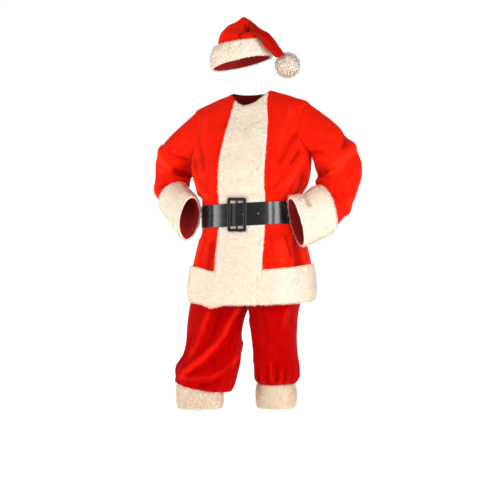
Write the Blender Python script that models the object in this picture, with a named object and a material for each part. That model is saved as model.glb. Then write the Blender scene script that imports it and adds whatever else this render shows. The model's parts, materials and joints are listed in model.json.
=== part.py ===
"""Santa suit as worn: jacket, trousers, hat and belt, each a hollow shell of cut panels.

Metres, +Z up. The wearer faces -Y and the wearer's left is +X. The origin is the centre of the
neck opening, between the shoulders that hold the jacket up.
"""

import math
from collections import namedtuple

import bmesh
import bpy
import numpy as np
from mathutils import Matrix, Vector

# Cloth and trim
CLOTH = 0.0022  # plush velour with its backing
SEAM = 0.0003  # gap between pieces at a seam
LAY = 0.0005  # gap between a panel and what lies on it
PILE = 0.012  # trim with its pile
PILE_EDGE = 0.0055  # trim where its edge rolls down
PILE_PRESSED = 0.004  # trim under the belt

# Jacket. Sections are numbered from 0 at the hem, and half numbers lie between two.
BAND_CLOSE = 0.82  # share of the left half band where the upper trim ends and the under begins
HEM_DROP = 0.014
HEM_DROP_ANGLE = -27  # degrees from centre front
HEM_DROP_WIDTH = 11
SIDE_SPLIT = math.radians(48)  # panel columns are even up to here, then fit the armhole
ARMHOLE_HALF_ANGLE = math.radians(33)
SPLIT_CLEAR = math.radians(5)  # least distance of that split from the trim's edge
SPLIT_REACH = math.radians(8)  # and most past the middle of the red panel
FOLD_FADE = 0.7  # sections over which a fold dies out
SLEEVE_HEAD = 0.985  # sleeve head inside its armhole
SLEEVE_ROUND = 16
SHARP_EDGE = math.radians(50)

# Belt and buckle
BELT_THICKNESS = 0.0025
STRAP_GAP = 0.0009  # under the strap, where it spans flat between its points
BELT_HOLE = 0.0032  # radius
BELT_HOLE_SIDES = 10
CUTTER_DEPTH = 0.03
BELT_HOLE_PITCH = 0.062
BELT_HOLES = (-2, -1, 0, 1, 2, 3)  # counted from the prong's hole toward the left side
PRONG_HOLE = 1.45  # the prong's hole is stretched by this much
PRONG_HOLE_AT = 0.021  # from the buckle's centre
FIXED_END = 0.010  # how far past the buckle's centre the fixed end reaches
FREE_END = 0.118  # how far past the buckle's centre the free end reaches
BUCKLE_WIDTH = 0.078
BUCKLE_HEIGHT = 0.134
BUCKLE_BAR = 0.0125
BUCKLE_DEPTH = 0.005
BUCKLE_CORNER = 0.0085
INNER_CORNER = 0.003
BUCKLE_LOW = 0.0056  # underside of the frame above the strap's base
BUCKLE_SHIFT = 0.012  # buckle's centre to the right of centre front
CENTRE_BAR = 0.007
CENTRE_BAR_DEPTH = 0.0035
PRONG_RADIUS = 0.0019
# The prong up to its rest on the frame: distance along the belt and height above the strap's base.
PRONG_ROUTE = ((0.0125, 0.0021), (0.0170, 0.0021), (0.0200, 0.0042), (0.0225, 0.0082))
PRONG_REST = 0.0270  # where it comes level with the frame's face
PRONG_PAST = 0.001  # how far it reaches past the frame's side

# Hat
POMPOM_RADIUS = 0.051
POMPOM_CORE = 0.043
POMPOM_SEAT = 0.0015  # how far one lock reaches into the open tip of the hat

# The jacket's sections from hem to neck. Heights are at the front, the side and the back.
Station = namedtuple("Station", "z_front z_side z_back half_width front back tilt square")
TORSO = {
    "hem": Station(-0.838, -0.832, -0.834, 0.253, 0.205, 0.195, 0.7, 2.2),
    "hem trim top": Station(-0.704, -0.688, -0.690, 0.236, 0.190, 0.176, 0.8, 2.2),
    "skirt": Station(-0.610, -0.610, -0.610, 0.217, 0.174, 0.162, 2.0, 2.2),
    "below belt": Station(-0.555, -0.555, -0.555, 0.205, 0.161, 0.151, 3.2, 2.2),
    "belt low": Station(-0.531, -0.531, -0.531, 0.203, 0.160, 0.150, 3.2, 2.2),
    "belt high": Station(-0.438, -0.438, -0.438, 0.203, 0.160, 0.150, 3.2, 2.2),
    "above belt": Station(-0.414, -0.414, -0.414, 0.206, 0.161, 0.152, 3.2, 2.2),
    "blouse": Station(-0.376, -0.372, -0.372, 0.229, 0.178, 0.168, 3.2, 2.3),
    "ribs": Station(-0.312, -0.307, -0.307, 0.240, 0.173, 0.168, 3.2, 2.4),
    "armpit": Station(-0.252, -0.236, -0.242, 0.244, 0.156, 0.160, 3.2, 2.4),
    "chest": Station(-0.174, -0.148, -0.154, 0.246, 0.132, 0.150, 3.2, 2.4),
    "shoulder": Station(-0.108, -0.055, -0.077, 0.236, 0.100, 0.124, 3.4, 2.3),
    "yoke": Station(-0.070, -0.024, -0.032, 0.172, 0.086, 0.100, 3.4, 2.1),
    "neck": Station(-0.052, 0.010, 0.004, 0.080, 0.074, 0.070, 3.4, 2.0),
}

# Half widths of the front trim from centre front, on the wearer's right and left.
Band = namedtuple("Band", "section right left")
BAND = (
    Band("hem", 0.100, 0.090),
    Band("belt low", 0.093, 0.094),
    Band("armpit", 0.087, 0.098),
    Band("chest", 0.075, 0.098),
    Band("shoulder", 0.064, 0.092),
    Band("neck", 0.052, 0.076),
)

# Soft vertical folds of the jacket: angle from centre front, sections it runs between, size.
TorsoFold = namedtuple("TorsoFold", "angle low high width depth")
TORSO_FOLDS = (
    TorsoFold(-62, 0.0, 2.9, 9, 0.009),
    TorsoFold(-34, 0.2, 2.8, 7, -0.005),
    TorsoFold(42, 0.2, 2.8, 8, 0.006),
    TorsoFold(68, 0.0, 2.9, 9, -0.007),
    TorsoFold(112, 0.0, 2.9, 10, 0.009),
    TorsoFold(150, 0.2, 2.8, 9, -0.006),
    TorsoFold(-112, 0.0, 2.9, 10, 0.009),
    TorsoFold(-148, 0.2, 2.8, 9, -0.007),
    TorsoFold(178, 0.1, 2.9, 10, 0.007),
    TorsoFold(46, 6.2, 8.4, 8, 0.006),
    TorsoFold(74, 6.1, 8.0, 8, -0.006),
    TorsoFold(-46, 6.2, 8.6, 8, 0.006),
    TorsoFold(-76, 6.1, 8.0, 8, -0.006),
    TorsoFold(126, 6.1, 9.0, 9, 0.007),
    TorsoFold(-124, 6.1, 9.0, 9, 0.007),
    TorsoFold(180, 6.1, 8.6, 10, -0.006),
)

# Sleeve sections below the armhole: the outer and the inner point, and half the depth.
Oval = namedtuple("Oval", "outer inner half_depth")
SLEEVE_LEFT = {
    "upper arm": Oval((0.346, 0.008, -0.127), (0.255, 0.013, -0.278), 0.090),
    "above elbow": Oval((0.413, 0.041, -0.214), (0.261, 0.027, -0.322), 0.088),
    "elbow": Oval((0.443, 0.055, -0.299), (0.263, 0.019, -0.346), 0.082),
    "forearm": Oval((0.426, 0.018, -0.407), (0.266, -0.003, -0.359), 0.072),
    "cuff seam": Oval((0.350, -0.054, -0.540), (0.295, -0.046, -0.376), 0.060),
    "mouth": Oval((0.242, -0.134, -0.605), (0.195, -0.141, -0.428), 0.050),
}
SLEEVE_RIGHT = {
    "upper arm": Oval((-0.333, 0.036, -0.149), (-0.266, 0.018, -0.281), 0.090),
    "above elbow": Oval((-0.405, 0.066, -0.219), (-0.275, 0.031, -0.313), 0.086),
    "elbow": Oval((-0.428, 0.079, -0.291), (-0.277, 0.026, -0.334), 0.079),
    "forearm": Oval((-0.421, 0.051, -0.376), (-0.282, 0.008, -0.342), 0.068),
    "cuff seam": Oval((-0.366, -0.013, -0.459), (-0.293, -0.024, -0.359), 0.056),
    "mouth": Oval((-0.248, -0.098, -0.583), (-0.220, -0.098, -0.418), 0.045),
}
# Folds of the sleeves and legs: how far they stand out, their width in metres, and their path as
# (turn in degrees, section) pairs.
Fold = namedtuple("Fold", "depth width path")
SLEEVE_FOLDS_LEFT = (
    Fold(0.006, 0.017, ((-20, 1.9), (40, 2.1), (95, 2.1))),
    Fold(-0.005, 0.014, ((-10, 1.5), (50, 1.7))),
    Fold(-0.008, 0.014, ((175, 2.5), (120, 2.8))),
    Fold(0.006, 0.014, ((170, 3.2), (125, 3.3), (80, 3.1))),
    Fold(0.006, 0.016, ((215, 2.3), (270, 2.0), (310, 2.1))),
    Fold(-0.006, 0.014, ((190, 2.8), (240, 3.0))),
    Fold(0.007, 0.018, ((300, 4.3), (350, 4.5), (40, 4.4))),
)
SLEEVE_FOLDS_RIGHT = (
    Fold(0.005, 0.016, ((0, 1.8), (60, 1.7), (110, 2.1))),
    Fold(-0.008, 0.014, ((180, 2.5), (130, 2.4))),
    Fold(0.006, 0.014, ((170, 3.1), (120, 3.4), (80, 3.3))),
    Fold(0.006, 0.016, ((215, 2.2), (270, 2.1), (320, 2.4))),
    Fold(-0.006, 0.014, ((190, 2.8), (245, 3.1))),
    Fold(0.006, 0.018, ((310, 4.4), (0, 4.5), (50, 4.3))),
)
LEG_FOLDS_RIGHT = (
    Fold(0.006, 0.015, ((92, 4.9), (89, 5.6), (108, 7.6), (122, 8.2))),
    Fold(0.008, 0.017, ((36, 5.2), (54, 6.8), (93, 8.2), (126, 9.4))),
    Fold(0.006, 0.014, ((14, 8.0), (61, 9.0), (108, 9.5))),
    Fold(-0.005, 0.014, ((64, 5.4), (76, 7.0), (100, 7.9))),
    Fold(-0.006, 0.012, ((70, 9.6), (110, 9.9))),
    Fold(0.006, 0.015, ((300, 5.2), (275, 7.0), (240, 8.6))),
    Fold(0.007, 0.016, ((335, 7.4), (300, 8.6), (255, 9.4))),
    Fold(-0.005, 0.014, ((268, 5.4), (250, 7.2))),
)
LEG_FOLDS_LEFT = (
    Fold(0.005, 0.014, ((136, 5.2), (128, 6.2))),
    Fold(-0.006, 0.013, ((150, 5.9), (170, 6.3))),
    Fold(0.005, 0.013, ((92, 8.6), (96, 10.4))),
    Fold(0.005, 0.012, ((118, 8.9), (114, 10.4))),
    Fold(0.005, 0.012, ((64, 9.1), (70, 10.4))),
    Fold(0.006, 0.015, ((30, 6.0), (36, 8.6))),
    Fold(0.006, 0.016, ((300, 5.3), (285, 7.4), (262, 9.2))),
    Fold(0.006, 0.015, ((226, 6.4), (234, 9.4))),
    Fold(-0.005, 0.014, ((262, 5.6), (250, 7.6))),
)
TURN_REACH = 0.10  # metres for each radian round a sleeve or leg
STEP_REACH = 0.065  # metres between its sections
SLEEVE_STEPS = (0, 0.5, 1, 1.5, 2, 2.5, 3, 3.5, 4, 4.5, 5, 5.35, 5.7, 6)
CUFF_FROM = 5.0

# Trouser sections: leg centre, half sizes across and along the stance, tilt down to the inside.
LegSection = namedtuple("LegSection", "x y z half_x half_y tilt")
LEG_LEFT = {
    "crotch": LegSection(0.091, 0.004, -0.852, 0.104, 0.128, 0.0),
    "thigh": LegSection(0.092, 0.006, -0.910, 0.093, 0.116, 0.0),
    "above knee": LegSection(0.094, 0.010, -0.980, 0.087, 0.104, 0.0),
    "knee": LegSection(0.096, 0.016, -1.040, 0.088, 0.100, 0.0),
    "calf": LegSection(0.098, 0.024, -1.100, 0.092, 0.104, 0.0),
    "overhang": LegSection(0.098, 0.028, -1.140, 0.089, 0.098, 1.0),
    "tuck": LegSection(0.096, 0.029, -1.159, 0.082, 0.088, 0.0),
    "gathered": LegSection(0.094, 0.030, -1.1675, 0.073, 0.077, 0.0),
}
LEG_RIGHT = {
    "crotch": LegSection(-0.135, -0.004, -0.852, 0.120, 0.128, 0.0),
    "thigh": LegSection(-0.149, -0.010, -0.910, 0.115, 0.120, 1.0),
    "above knee": LegSection(-0.154, -0.022, -0.980, 0.111, 0.114, 2.0),
    "knee": LegSection(-0.157, -0.032, -1.045, 0.115, 0.113, 4.0),
    "calf": LegSection(-0.176, -0.044, -1.118, 0.124, 0.118, 8.0),
    "overhang": LegSection(-0.190, -0.050, -1.172, 0.112, 0.112, 13.0),
    "tuck": LegSection(-0.198, -0.055, -1.180, 0.105, 0.103, 11.0),
    "gathered": LegSection(-0.203, -0.060, -1.1665, 0.086, 0.085, 7.0),
}
# Between the crotch and the waistband each leg opens into half of the hips.
HipSection = namedtuple("HipSection", "share z_centre z_side half_width front back tilt")
HIPS = {
    "waist": HipSection(1.00, -0.5313, -0.5313, 0.1985, 0.1555, 0.1455, 3.2),
    "high hip": HipSection(1.00, -0.620, -0.620, 0.204, 0.158, 0.148, 2.0),
    "hip": HipSection(1.00, -0.710, -0.700, 0.209, 0.160, 0.152, 1.0),
    "rise": HipSection(0.85, -0.800, -0.770, 0.216, 0.158, 0.152, 0.0),
    "fork": HipSection(0.45, -0.842, -0.816, 0.222, 0.140, 0.140, 0.0),
}
HIP_SQUARE = 2.2
LEG_CUFF_HEIGHT = 0.098
LEG_CUFF_ROUND = 20
# Share of the leg cuff's height below its top, and the pile's depth there.
LEG_CUFF_PROFILE = ((0.0, PILE_EDGE), (0.2, PILE), (0.5, PILE), (0.88, PILE), (1.0, PILE_EDGE))
WAISTBAND_GAP = 0.0011  # inside the jacket's cloth
WAISTBAND_THICKNESS = 0.003
WAISTBAND_ROUND = 36
CUFF_INSET = 0.006
CUFF_GAP = {"left": 0.0006, "right": 0.0022}  # below the gathered edge, which overhangs on the right
LEG_GATHERS = 16  # round each leg, two columns each
LEG_GATHER_DEPTH = 0.0035

# Hat sections from the opening over the fold to the tip: the side that becomes the outside of
# the fold, the side inside it, and half the depth.
HAT = {
    "opening": Oval((-0.144, -0.059, 0.101), (0.070, 0.020, 0.151), 0.112),
    "band middle": Oval((-0.147, -0.056, 0.146), (0.069, 0.022, 0.194), 0.113),
    "band top": Oval((-0.133, -0.048, 0.190), (0.059, 0.022, 0.220), 0.108),
    "crown": Oval((-0.121, -0.044, 0.240), (0.046, 0.015, 0.238), 0.092),
    "high crown": Oval((-0.086, -0.035, 0.277), (0.029, 0.008, 0.248), 0.062),
    "below fold": Oval((-0.057, -0.033, 0.288), (0.027, 0.000, 0.249), 0.044),
    "fold": Oval((-0.033, -0.030, 0.305), (0.023, -0.008, 0.250), 0.028),
    "past fold": Oval((0.010, -0.052, 0.281), (0.034, -0.046, 0.238), 0.022),
    "over": Oval((0.032, -0.077, 0.266), (0.044, -0.081, 0.226), 0.021),
    "tail top": Oval((0.105, -0.100, 0.223), (0.074, -0.114, 0.191), 0.020),
    "tail": Oval((0.132, -0.074, 0.182), (0.094, -0.085, 0.162), 0.020),
    "tail end": Oval((0.142, -0.047, 0.160), (0.114, -0.055, 0.141), 0.017),
    "tip": Oval((0.136, -0.045, 0.146), (0.128, -0.047, 0.140), 0.004),
}
HAT_STEPS = (0, 0.5, 1, 1.5, 2, 2.5, 3, 3.5, 4, 4.5, 5, 5.5, 6, 6.5, 7, 7.5, 8, 9, 10, 11, 12)
HAT_BAND_TOP = 2.0
HAT_ROUND = 18
POMPOM_ROWS = 4  # cuts across each side of the cube that becomes the ball

RED = (0.72, 0.012, 0.010)
DARK_RED = (0.52, 0.006, 0.008)
CREAM = (0.86, 0.79, 0.68)
BLACK = (0.012, 0.012, 0.013)
BRONZE_BLACK = (0.020, 0.017, 0.013)


def clear_scene():
    for obj in list(bpy.data.objects):
        bpy.data.objects.remove(obj, do_unlink=True)


def material(name, colour, roughness, metallic=0.0):
    made = bpy.data.materials.new(name)
    made.use_nodes = True
    shader = made.node_tree.nodes["Principled BSDF"]
    shader.inputs["Base Color"].default_value = (*colour, 1.0)
    shader.inputs["Roughness"].default_value = roughness
    shader.inputs["Metallic"].default_value = metallic
    made.diffuse_color = (*colour, 1.0)
    return made


def through(knots, at):
    """A smooth curve through evenly numbered knots, read at the given numbers, with no overshoot."""
    knots = np.asarray(knots, float)
    at = np.asarray(at, float)
    step = np.diff(knots, axis=0)
    slope = np.zeros_like(knots)
    before, after = step[:-1], step[1:]
    same_way = before * after > 0
    total = np.where(same_way, before + after, 1.0)
    slope[1:-1] = np.where(same_way, 2 * before * after / total, 0.0)
    slope[0], slope[-1] = step[0], step[-1]
    low = np.clip(np.floor(at).astype(int), 0, len(knots) - 2)
    part = (at - low).reshape(at.shape + (1,) * (knots.ndim - 1))
    start, end = knots[low], knots[low + 1]
    leave, arrive = slope[low], slope[low + 1]
    square, cube = part**2, part**3
    return (
        start * (2 * cube - 3 * square + 1)
        + leave * (cube - 2 * square + part)
        + end * (3 * square - 2 * cube)
        + arrive * (cube - square)
    )


def power(value, exponent):
    return np.sign(value) * np.abs(value) ** exponent


def soft_fold(across, width):
    return np.exp(-((across / width) ** 2))


def window(value, low, high, fade):
    """1 between low and high, easing to 0 over fade on both sides."""
    rise = np.clip((value - low) / fade, 0, 1)
    fall = np.clip((high - value) / fade, 0, 1)
    return rise * rise * (3 - 2 * rise) * fall * fall * (3 - 2 * fall)


def station(name):
    """The number of a named torso section."""
    return float(list(TORSO).index(name))


def torso_station(level):
    """The torso's columns at any section number."""
    return Station(*np.moveaxis(through(list(TORSO.values()), level), -1, 0))


def torso_plain(angle, level):
    """The jacket's body without its folds. Angle 0 is centre front and +90 degrees the left side."""
    here = torso_station(level)
    sine, cosine = np.sin(angle), np.cos(angle)
    x = here.half_width * power(sine, 2 / here.square)
    y = -np.where(cosine > 0, here.front, here.back) * power(cosine, 2 / here.square)
    z_end = np.where(cosine > 0, here.z_front, here.z_back)
    z = z_end * cosine**2 + here.z_side * sine**2 + x * np.tan(np.radians(here.tilt))
    return np.stack([x, y, z], -1)


def torso_fold(angle, level):
    """How far the jacket's folds stand out."""
    depth = np.zeros(np.broadcast(angle, level).shape)
    for fold in TORSO_FOLDS:
        across = (np.degrees(angle) - fold.angle + 180) % 360 - 180
        along = window(level, fold.low - FOLD_FADE, fold.high, FOLD_FADE)
        depth += fold.depth * soft_fold(across, fold.width) * along
    return depth


def normals(surface, angle, level, step=1e-3):
    """Unit normals of surface(angle, level), by differences."""
    along_angle = surface(angle + step, level) - surface(angle - step, level)
    along_level = surface(angle, level + step) - surface(angle, level - step)
    normal = np.cross(along_angle, along_level)
    return normal / np.linalg.norm(normal, axis=-1, keepdims=True)


def torso(angle, level):
    plain = torso_plain(angle, level)
    out = normals(torso_plain, angle, level)
    return plain + out * torso_fold(angle, level)[..., None]


def torso_normals(angle, level):
    return normals(torso, angle, level)


def wall(name, outer, inner, finish, closed=False):
    """A closed solid between two grids of points, rows by columns. Closed grids join round."""
    rows, columns = outer.shape[:2]
    count = rows * columns
    points = np.concatenate([outer.reshape(-1, 3), inner.reshape(-1, 3)])
    faces = []

    def at(row, column, side):
        return side * count + row * columns + column % columns

    def strip(a, b, c, d):
        faces.append((a, b, c))
        faces.append((a, c, d))

    across = columns if closed else columns - 1
    for row in range(rows - 1):
        for column in range(across):
            corners = ((row, column), (row, column + 1), (row + 1, column + 1), (row + 1, column))
            strip(*(at(r, c, 0) for r, c in corners))
            a, b, c, d = (at(r, c, 1) for r, c in corners)
            faces.append((a, c, b))
            faces.append((a, d, c))
    for column in range(across):
        strip(at(0, column, 0), at(0, column, 1), at(0, column + 1, 1), at(0, column + 1, 0))
        last = rows - 1
        strip(at(last, column, 0), at(last, column + 1, 0), at(last, column + 1, 1), at(last, column, 1))
    if not closed:
        for row in range(rows - 1):
            strip(at(row, 0, 0), at(row + 1, 0, 0), at(row + 1, 0, 1), at(row, 0, 1))
            end = columns - 1
            strip(at(row, end, 0), at(row, end, 1), at(row + 1, end, 1), at(row + 1, end, 0))
    return add_mesh(name, points, faces, finish)


def add_mesh(name, points, faces, finish):
    mesh = bpy.data.meshes.new(name)
    mesh.from_pydata([tuple(p) for p in points], [], faces)
    build = bmesh.new()
    build.from_mesh(mesh)
    if build.calc_volume(signed=True) < 0:
        bmesh.ops.reverse_faces(build, faces=build.faces[:])
    build.to_mesh(mesh)
    build.free()
    mesh.shade_smooth()
    mesh.set_sharp_from_angle(angle=SHARP_EDGE)
    mesh.materials.append(finish)
    obj = bpy.data.objects.new(name, mesh)
    SUIT.objects.link(obj)
    return obj


def band_edge(level, side):
    """The angle of the front trim's edge at each section. Side is 1 for the wearer's left."""
    marks = [station(row.section) for row in BAND]
    width = np.interp(level, marks, [row.left if side > 0 else row.right for row in BAND])
    here = torso_station(level)
    return np.arcsin(np.clip((width / here.half_width) ** (here.square / 2), 0, 0.999))


def armhole(turn, shrink=1.0):
    """Angle from the side and section of the armhole's front edge. Turn 0 is the armpit, pi the top."""
    low, high = station("armpit"), station("shoulder")
    middle, half = (low + high) / 2, (high - low) / 2
    return shrink * ARMHOLE_HALF_ANGLE * np.sin(turn), middle - shrink * half * np.cos(turn)


ARMHOLE_TURNS = np.linspace(0, math.pi, SLEEVE_ROUND // 2 + 1)
TORSO_LEVELS = np.concatenate(
    [
        [0, 0.5, 1, 1.5, 2, 3, 4, 5, 6, 6.4, 7, 7.5, 8, 8.5],
        armhole(ARMHOLE_TURNS)[1],
        [11.5, 12, 12.5, 13],
    ]
)
HEM_LEVELS = TORSO_LEVELS[:3]
SIDE_RADIUS, FRONT_RADIUS = 0.23, 0.20
SEAM_ANGLE = SEAM / 2 / SIDE_RADIUS  # half a seam
CLOSE_ANGLE = SEAM / FRONT_RADIUS  # a whole one, between the strips of trim


def side_edge(level):
    """How far from the side the panels end: the seam, or the armhole's edge."""
    turns = ARMHOLE_TURNS[1:-1]
    cut, at = armhole(turns)
    found = np.full(level.shape, SEAM_ANGLE)
    for angle, near in zip(cut, at):
        found = np.where(np.isclose(level, near), angle, found)
    return found


def front_half(level, hand):
    """Column angles from centre front to the side. Hand is 1 on the wearer's left."""
    edge = band_edge(level, hand)
    close = edge * BAND_CLOSE
    split = np.maximum(SIDE_SPLIT, edge + SPLIT_CLEAR)
    side = math.pi / 2 - side_edge(level)
    split = np.minimum(split, (edge + side) / 2 + SPLIT_REACH)
    parts = [
        np.linspace(SEAM_ANGLE + 0 * edge, close, 3)[:-1],
        np.linspace(close, edge, 3)[:-1],
        np.linspace(edge, split, 4)[:-1],
        np.linspace(split, side, 5),
    ]
    return np.concatenate(parts).T


def back_half(level):
    """Column angles from the left side to centre back."""
    side = math.pi / 2 + side_edge(level)
    split = np.full(level.shape, math.pi - SIDE_SPLIT)
    parts = [np.linspace(side, split, 5)[:-1], np.linspace(split, math.pi + 0 * side, 5)]
    return np.concatenate(parts).T


CLOSE_COLUMN, EDGE_COLUMN = 2, 4


def with_drop(points, angles, levels):
    """The hem hangs a little lower beside the front trim on the wearer's right."""
    lower = points.copy()
    fade = np.clip(1 - levels / 2, 0, 1)[:, None]
    lower[..., 2] -= HEM_DROP * fade * soft_fold(np.degrees(angles) - HEM_DROP_ANGLE, HEM_DROP_WIDTH)
    return lower


def on_torso(angles, levels):
    """Points and normals for a grid of column angles at each section."""
    level = np.broadcast_to(levels[:, None], angles.shape)
    return torso(angles, level), torso_normals(angles, level)


def jacket_body():
    back = back_half(TORSO_LEVELS)
    panels = {
        "jacket_front_left": front_half(TORSO_LEVELS, 1),
        "jacket_front_right": -front_half(TORSO_LEVELS, -1)[:, ::-1],
        "jacket_back": np.concatenate([back, 2 * math.pi - back[:, -2::-1]], 1),
    }
    for name, angles in panels.items():
        points, out = on_torso(angles, TORSO_LEVELS)
        points = with_drop(points, angles, TORSO_LEVELS)
        wall(name, points, points - CLOTH * out, VELOUR)


def pile_depth(shape, levels, round_columns):
    """Trim depth over a grid: full inside, rolled down at its free edges, flat under the belt."""
    depth = np.full(shape, PILE)
    depth[0] = depth[-1] = PILE_EDGE
    for column in round_columns:
        depth[:, column] = np.minimum(depth[:, column], PILE_EDGE)
    pressed = (levels > station("below belt") - 0.1) & (levels < station("above belt") + 0.1)
    depth[pressed] = PILE_PRESSED
    return depth[..., None]


def jacket_trim():
    right, left = front_half(TORSO_LEVELS, -1), front_half(TORSO_LEVELS, 1)
    upper = np.concatenate([-right[:, EDGE_COLUMN::-1], left[:, : CLOSE_COLUMN + 1]], 1)
    under = left[:, CLOSE_COLUMN : EDGE_COLUMN + 1].copy()
    under[:, 0] += CLOSE_ANGLE
    for name, angles in {"front_plush_upper": upper, "front_plush_under": under}.items():
        points, out = on_torso(angles, TORSO_LEVELS)
        depth = pile_depth(angles.shape, TORSO_LEVELS, (0, -1))
        wall(name, points + (LAY + depth) * out, points + LAY * out, PLUSH)
    sides = []
    for side in (1, -1):
        front, back = front_half(HEM_LEVELS, side), back_half(HEM_LEVELS)
        seam = np.full(front[:, :1].shape, math.pi / 2)
        sides.append(np.concatenate([front[:, EDGE_COLUMN:-1], seam, back[:, 1:]], 1))
    angles = np.concatenate([sides[0], 2 * math.pi - sides[1][:, -2::-1]], 1)
    angles[:, 0] += CLOSE_ANGLE
    angles[:, -1] -= CLOSE_ANGLE
    points, out = on_torso(angles, HEM_LEVELS)
    points = with_drop(points, angles - 2 * math.pi * (angles > math.pi), HEM_LEVELS)
    depth = pile_depth(angles.shape, HEM_LEVELS, ())
    wall("hem_plush", points + (LAY + depth) * out, points + LAY * out, PLUSH)


def ring(outer, inner, half_depth, along, turns):
    """An oval section: turn 0 is its outer point and a quarter turn its front."""
    outer, inner = np.array(outer), np.array(inner)
    centre, reach = (outer + inner) / 2, (outer - inner) / 2
    side = np.cross(along, reach)
    side = half_depth * side / np.linalg.norm(side)
    return centre + np.cos(turns)[:, None] * reach + np.sin(turns)[:, None] * side


def rings_of(sections, turns, front, first=None):
    """Stacked sections as an array of rings. Front tells which way a quarter turn points."""
    centres = [(np.array(s[0]) + np.array(s[1])) / 2 for s in sections]
    if first is not None:
        centres = [first.mean(0), *centres]
    made = [] if first is None else [first]
    for number, (outer, inner, half_depth) in enumerate(sections, len(made)):
        before, after = max(number - 1, 0), min(number + 1, len(centres) - 1)
        along = centres[after] - centres[before]
        turned = ring(outer, inner, half_depth, along, turns)
        quarter = ring(outer, inner, half_depth, along, np.array([math.pi / 2]))[0]
        if np.dot(quarter - centres[number], front) < 0:
            turned = ring(outer, inner, half_depth, along, -turns)
        made.append(turned)
    return np.array(made)


def grid_normals(rings, steps, closed=True):
    """Normals of the surface through the rings at the steps, from neighbouring columns."""
    points = through(rings, np.array(steps, float))
    nudge = 1e-3
    top = len(rings) - 1.0
    ahead = through(rings, np.clip(np.array(steps) + nudge, 0, top))
    behind = through(rings, np.clip(np.array(steps) - nudge, 0, top))
    if closed:
        around = np.roll(points, -1, 1) - np.roll(points, 1, 1)
    else:
        around = np.gradient(points, axis=1)
    out = np.cross(around, ahead - behind)
    out /= np.linalg.norm(out, axis=-1, keepdims=True)
    middle = points.mean(1, keepdims=True)
    if (out * (points - middle)).sum() < 0:
        out = -out
    return points, out


def folds_over(rows, turns, steps):
    """How far the folds stand out over a grid of steps by turns."""
    total = np.zeros((len(steps), len(turns)))
    place_turn, place_step = np.meshgrid(np.degrees(turns), np.asarray(steps, float))
    for depth, width, path in rows:
        nearest = np.full(total.shape, 9.0)
        for (turn_a, step_a), (turn_b, step_b) in zip(path, path[1:]):
            sweep = (turn_b - turn_a + 180) % 360 - 180
            run_turn = math.radians(sweep) * TURN_REACH
            run_step = (step_b - step_a) * STEP_REACH
            away_turn = np.radians((place_turn - turn_a + 180) % 360 - 180) * TURN_REACH
            away_step = (place_step - step_a) * STEP_REACH
            along = (away_turn * run_turn + away_step * run_step) / (run_turn**2 + run_step**2)
            along = np.clip(along, 0, 1)
            gap = np.hypot(away_turn - along * run_turn, away_step - along * run_step)
            nearest = np.minimum(nearest, gap)
        total += depth * soft_fold(nearest, width)
    return total[..., None]


def sleeve_rings(sections, side):
    """The armhole's ring and the sections below it. Side is 1 for the left sleeve."""
    turns = np.linspace(0, 2 * math.pi, SLEEVE_ROUND + 1)[:-1]
    front_turn = math.pi - turns[: SLEEVE_ROUND // 2 + 1]
    cut, level = armhole(front_turn, SLEEVE_HEAD)
    angle = np.concatenate([math.pi / 2 - cut, math.pi / 2 + cut[-2:0:-1]])
    level = np.concatenate([level, level[-2:0:-1]])
    first = torso(side * angle, level)
    return rings_of(list(sections.values()), turns, np.array([0, -1.0, 0]), first)


def sleeve(name, sections, side, folds):
    rings = sleeve_rings(sections, side)
    points, out = grid_normals(rings, SLEEVE_STEPS)
    turns = np.linspace(0, 2 * math.pi, points.shape[1] + 1)[:-1]
    points = points + out * folds_over(folds, turns, SLEEVE_STEPS)
    wall(f"jacket_sleeve_{name}", points, points - CLOTH * out, VELOUR, closed=True)
    first = SLEEVE_STEPS.index(CUFF_FROM)
    depth = np.full(points[first:].shape[:2], PILE)
    depth[0] = depth[-1] = PILE_EDGE
    base, away = points[first:], out[first:]
    outside = base + (LAY + depth[..., None]) * away
    wall(f"cuff_plush_{name}", outside, base + LAY * away, PLUSH, closed=True)


def leg_ring(section, side, turns):
    """A closed leg section. Turn 0 is the inseam and a quarter turn the front."""
    x, y, z, half_x, half_y, tilt = section
    across = -side * half_x * np.cos(turns)
    along = -half_y * np.sin(turns)
    up = across * side * math.tan(math.radians(tilt))
    return np.stack([x + across, y + along, z + up], -1)


def hip_ring(section, leg, side, turns):
    """Half of the hips, opened from a leg section by its share."""
    share, z_centre, z_side, half_width, front, back, tilt = section
    sweep = turns / 2
    x = side * half_width * power(np.sin(sweep), 2 / HIP_SQUARE)
    y = -np.where(np.cos(sweep) > 0, front, back) * power(np.cos(sweep), 2 / HIP_SQUARE)
    z = z_side + (z_centre - z_side) * np.abs(np.cos(sweep)) ** 3 + x * math.tan(math.radians(tilt))
    closed = leg_ring(leg, side, turns)
    closed[:, 2] = z
    return share * np.stack([x, y, z], -1) + (1 - share) * closed


LEG_TURNS = np.linspace(0, 2 * math.pi, 2 * LEG_GATHERS + 1)
LEG_STEPS = np.array([0, 1, 2, 3, 4, 5, 6, 7, 8, 8.5, 9, 9.5, 10, 10.5, 11, 11.5, 12])


def leg_rings(sections, side):
    legs = list(sections.values())
    hips = [hip_ring(s, legs[0], side, LEG_TURNS) for s in HIPS.values()]
    rings = np.array(hips + [leg_ring(s, side, LEG_TURNS) for s in legs])
    gather = {"calf": 0.3, "overhang": 1.0, "tuck": 1.0, "gathered": 0.6}
    for name, share in gather.items():
        row = len(HIPS) + list(sections).index(name)
        centre = rings[row, :-1].mean(0)
        away = rings[row] - centre
        away /= np.linalg.norm(away, axis=-1, keepdims=True)
        wave = np.cos(LEG_TURNS * LEG_GATHERS)
        rings[row] += away * (share * LEG_GATHER_DEPTH * wave)[:, None]
    rings[len(HIPS) :, -1] = rings[len(HIPS) :, 0]
    return rings


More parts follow.
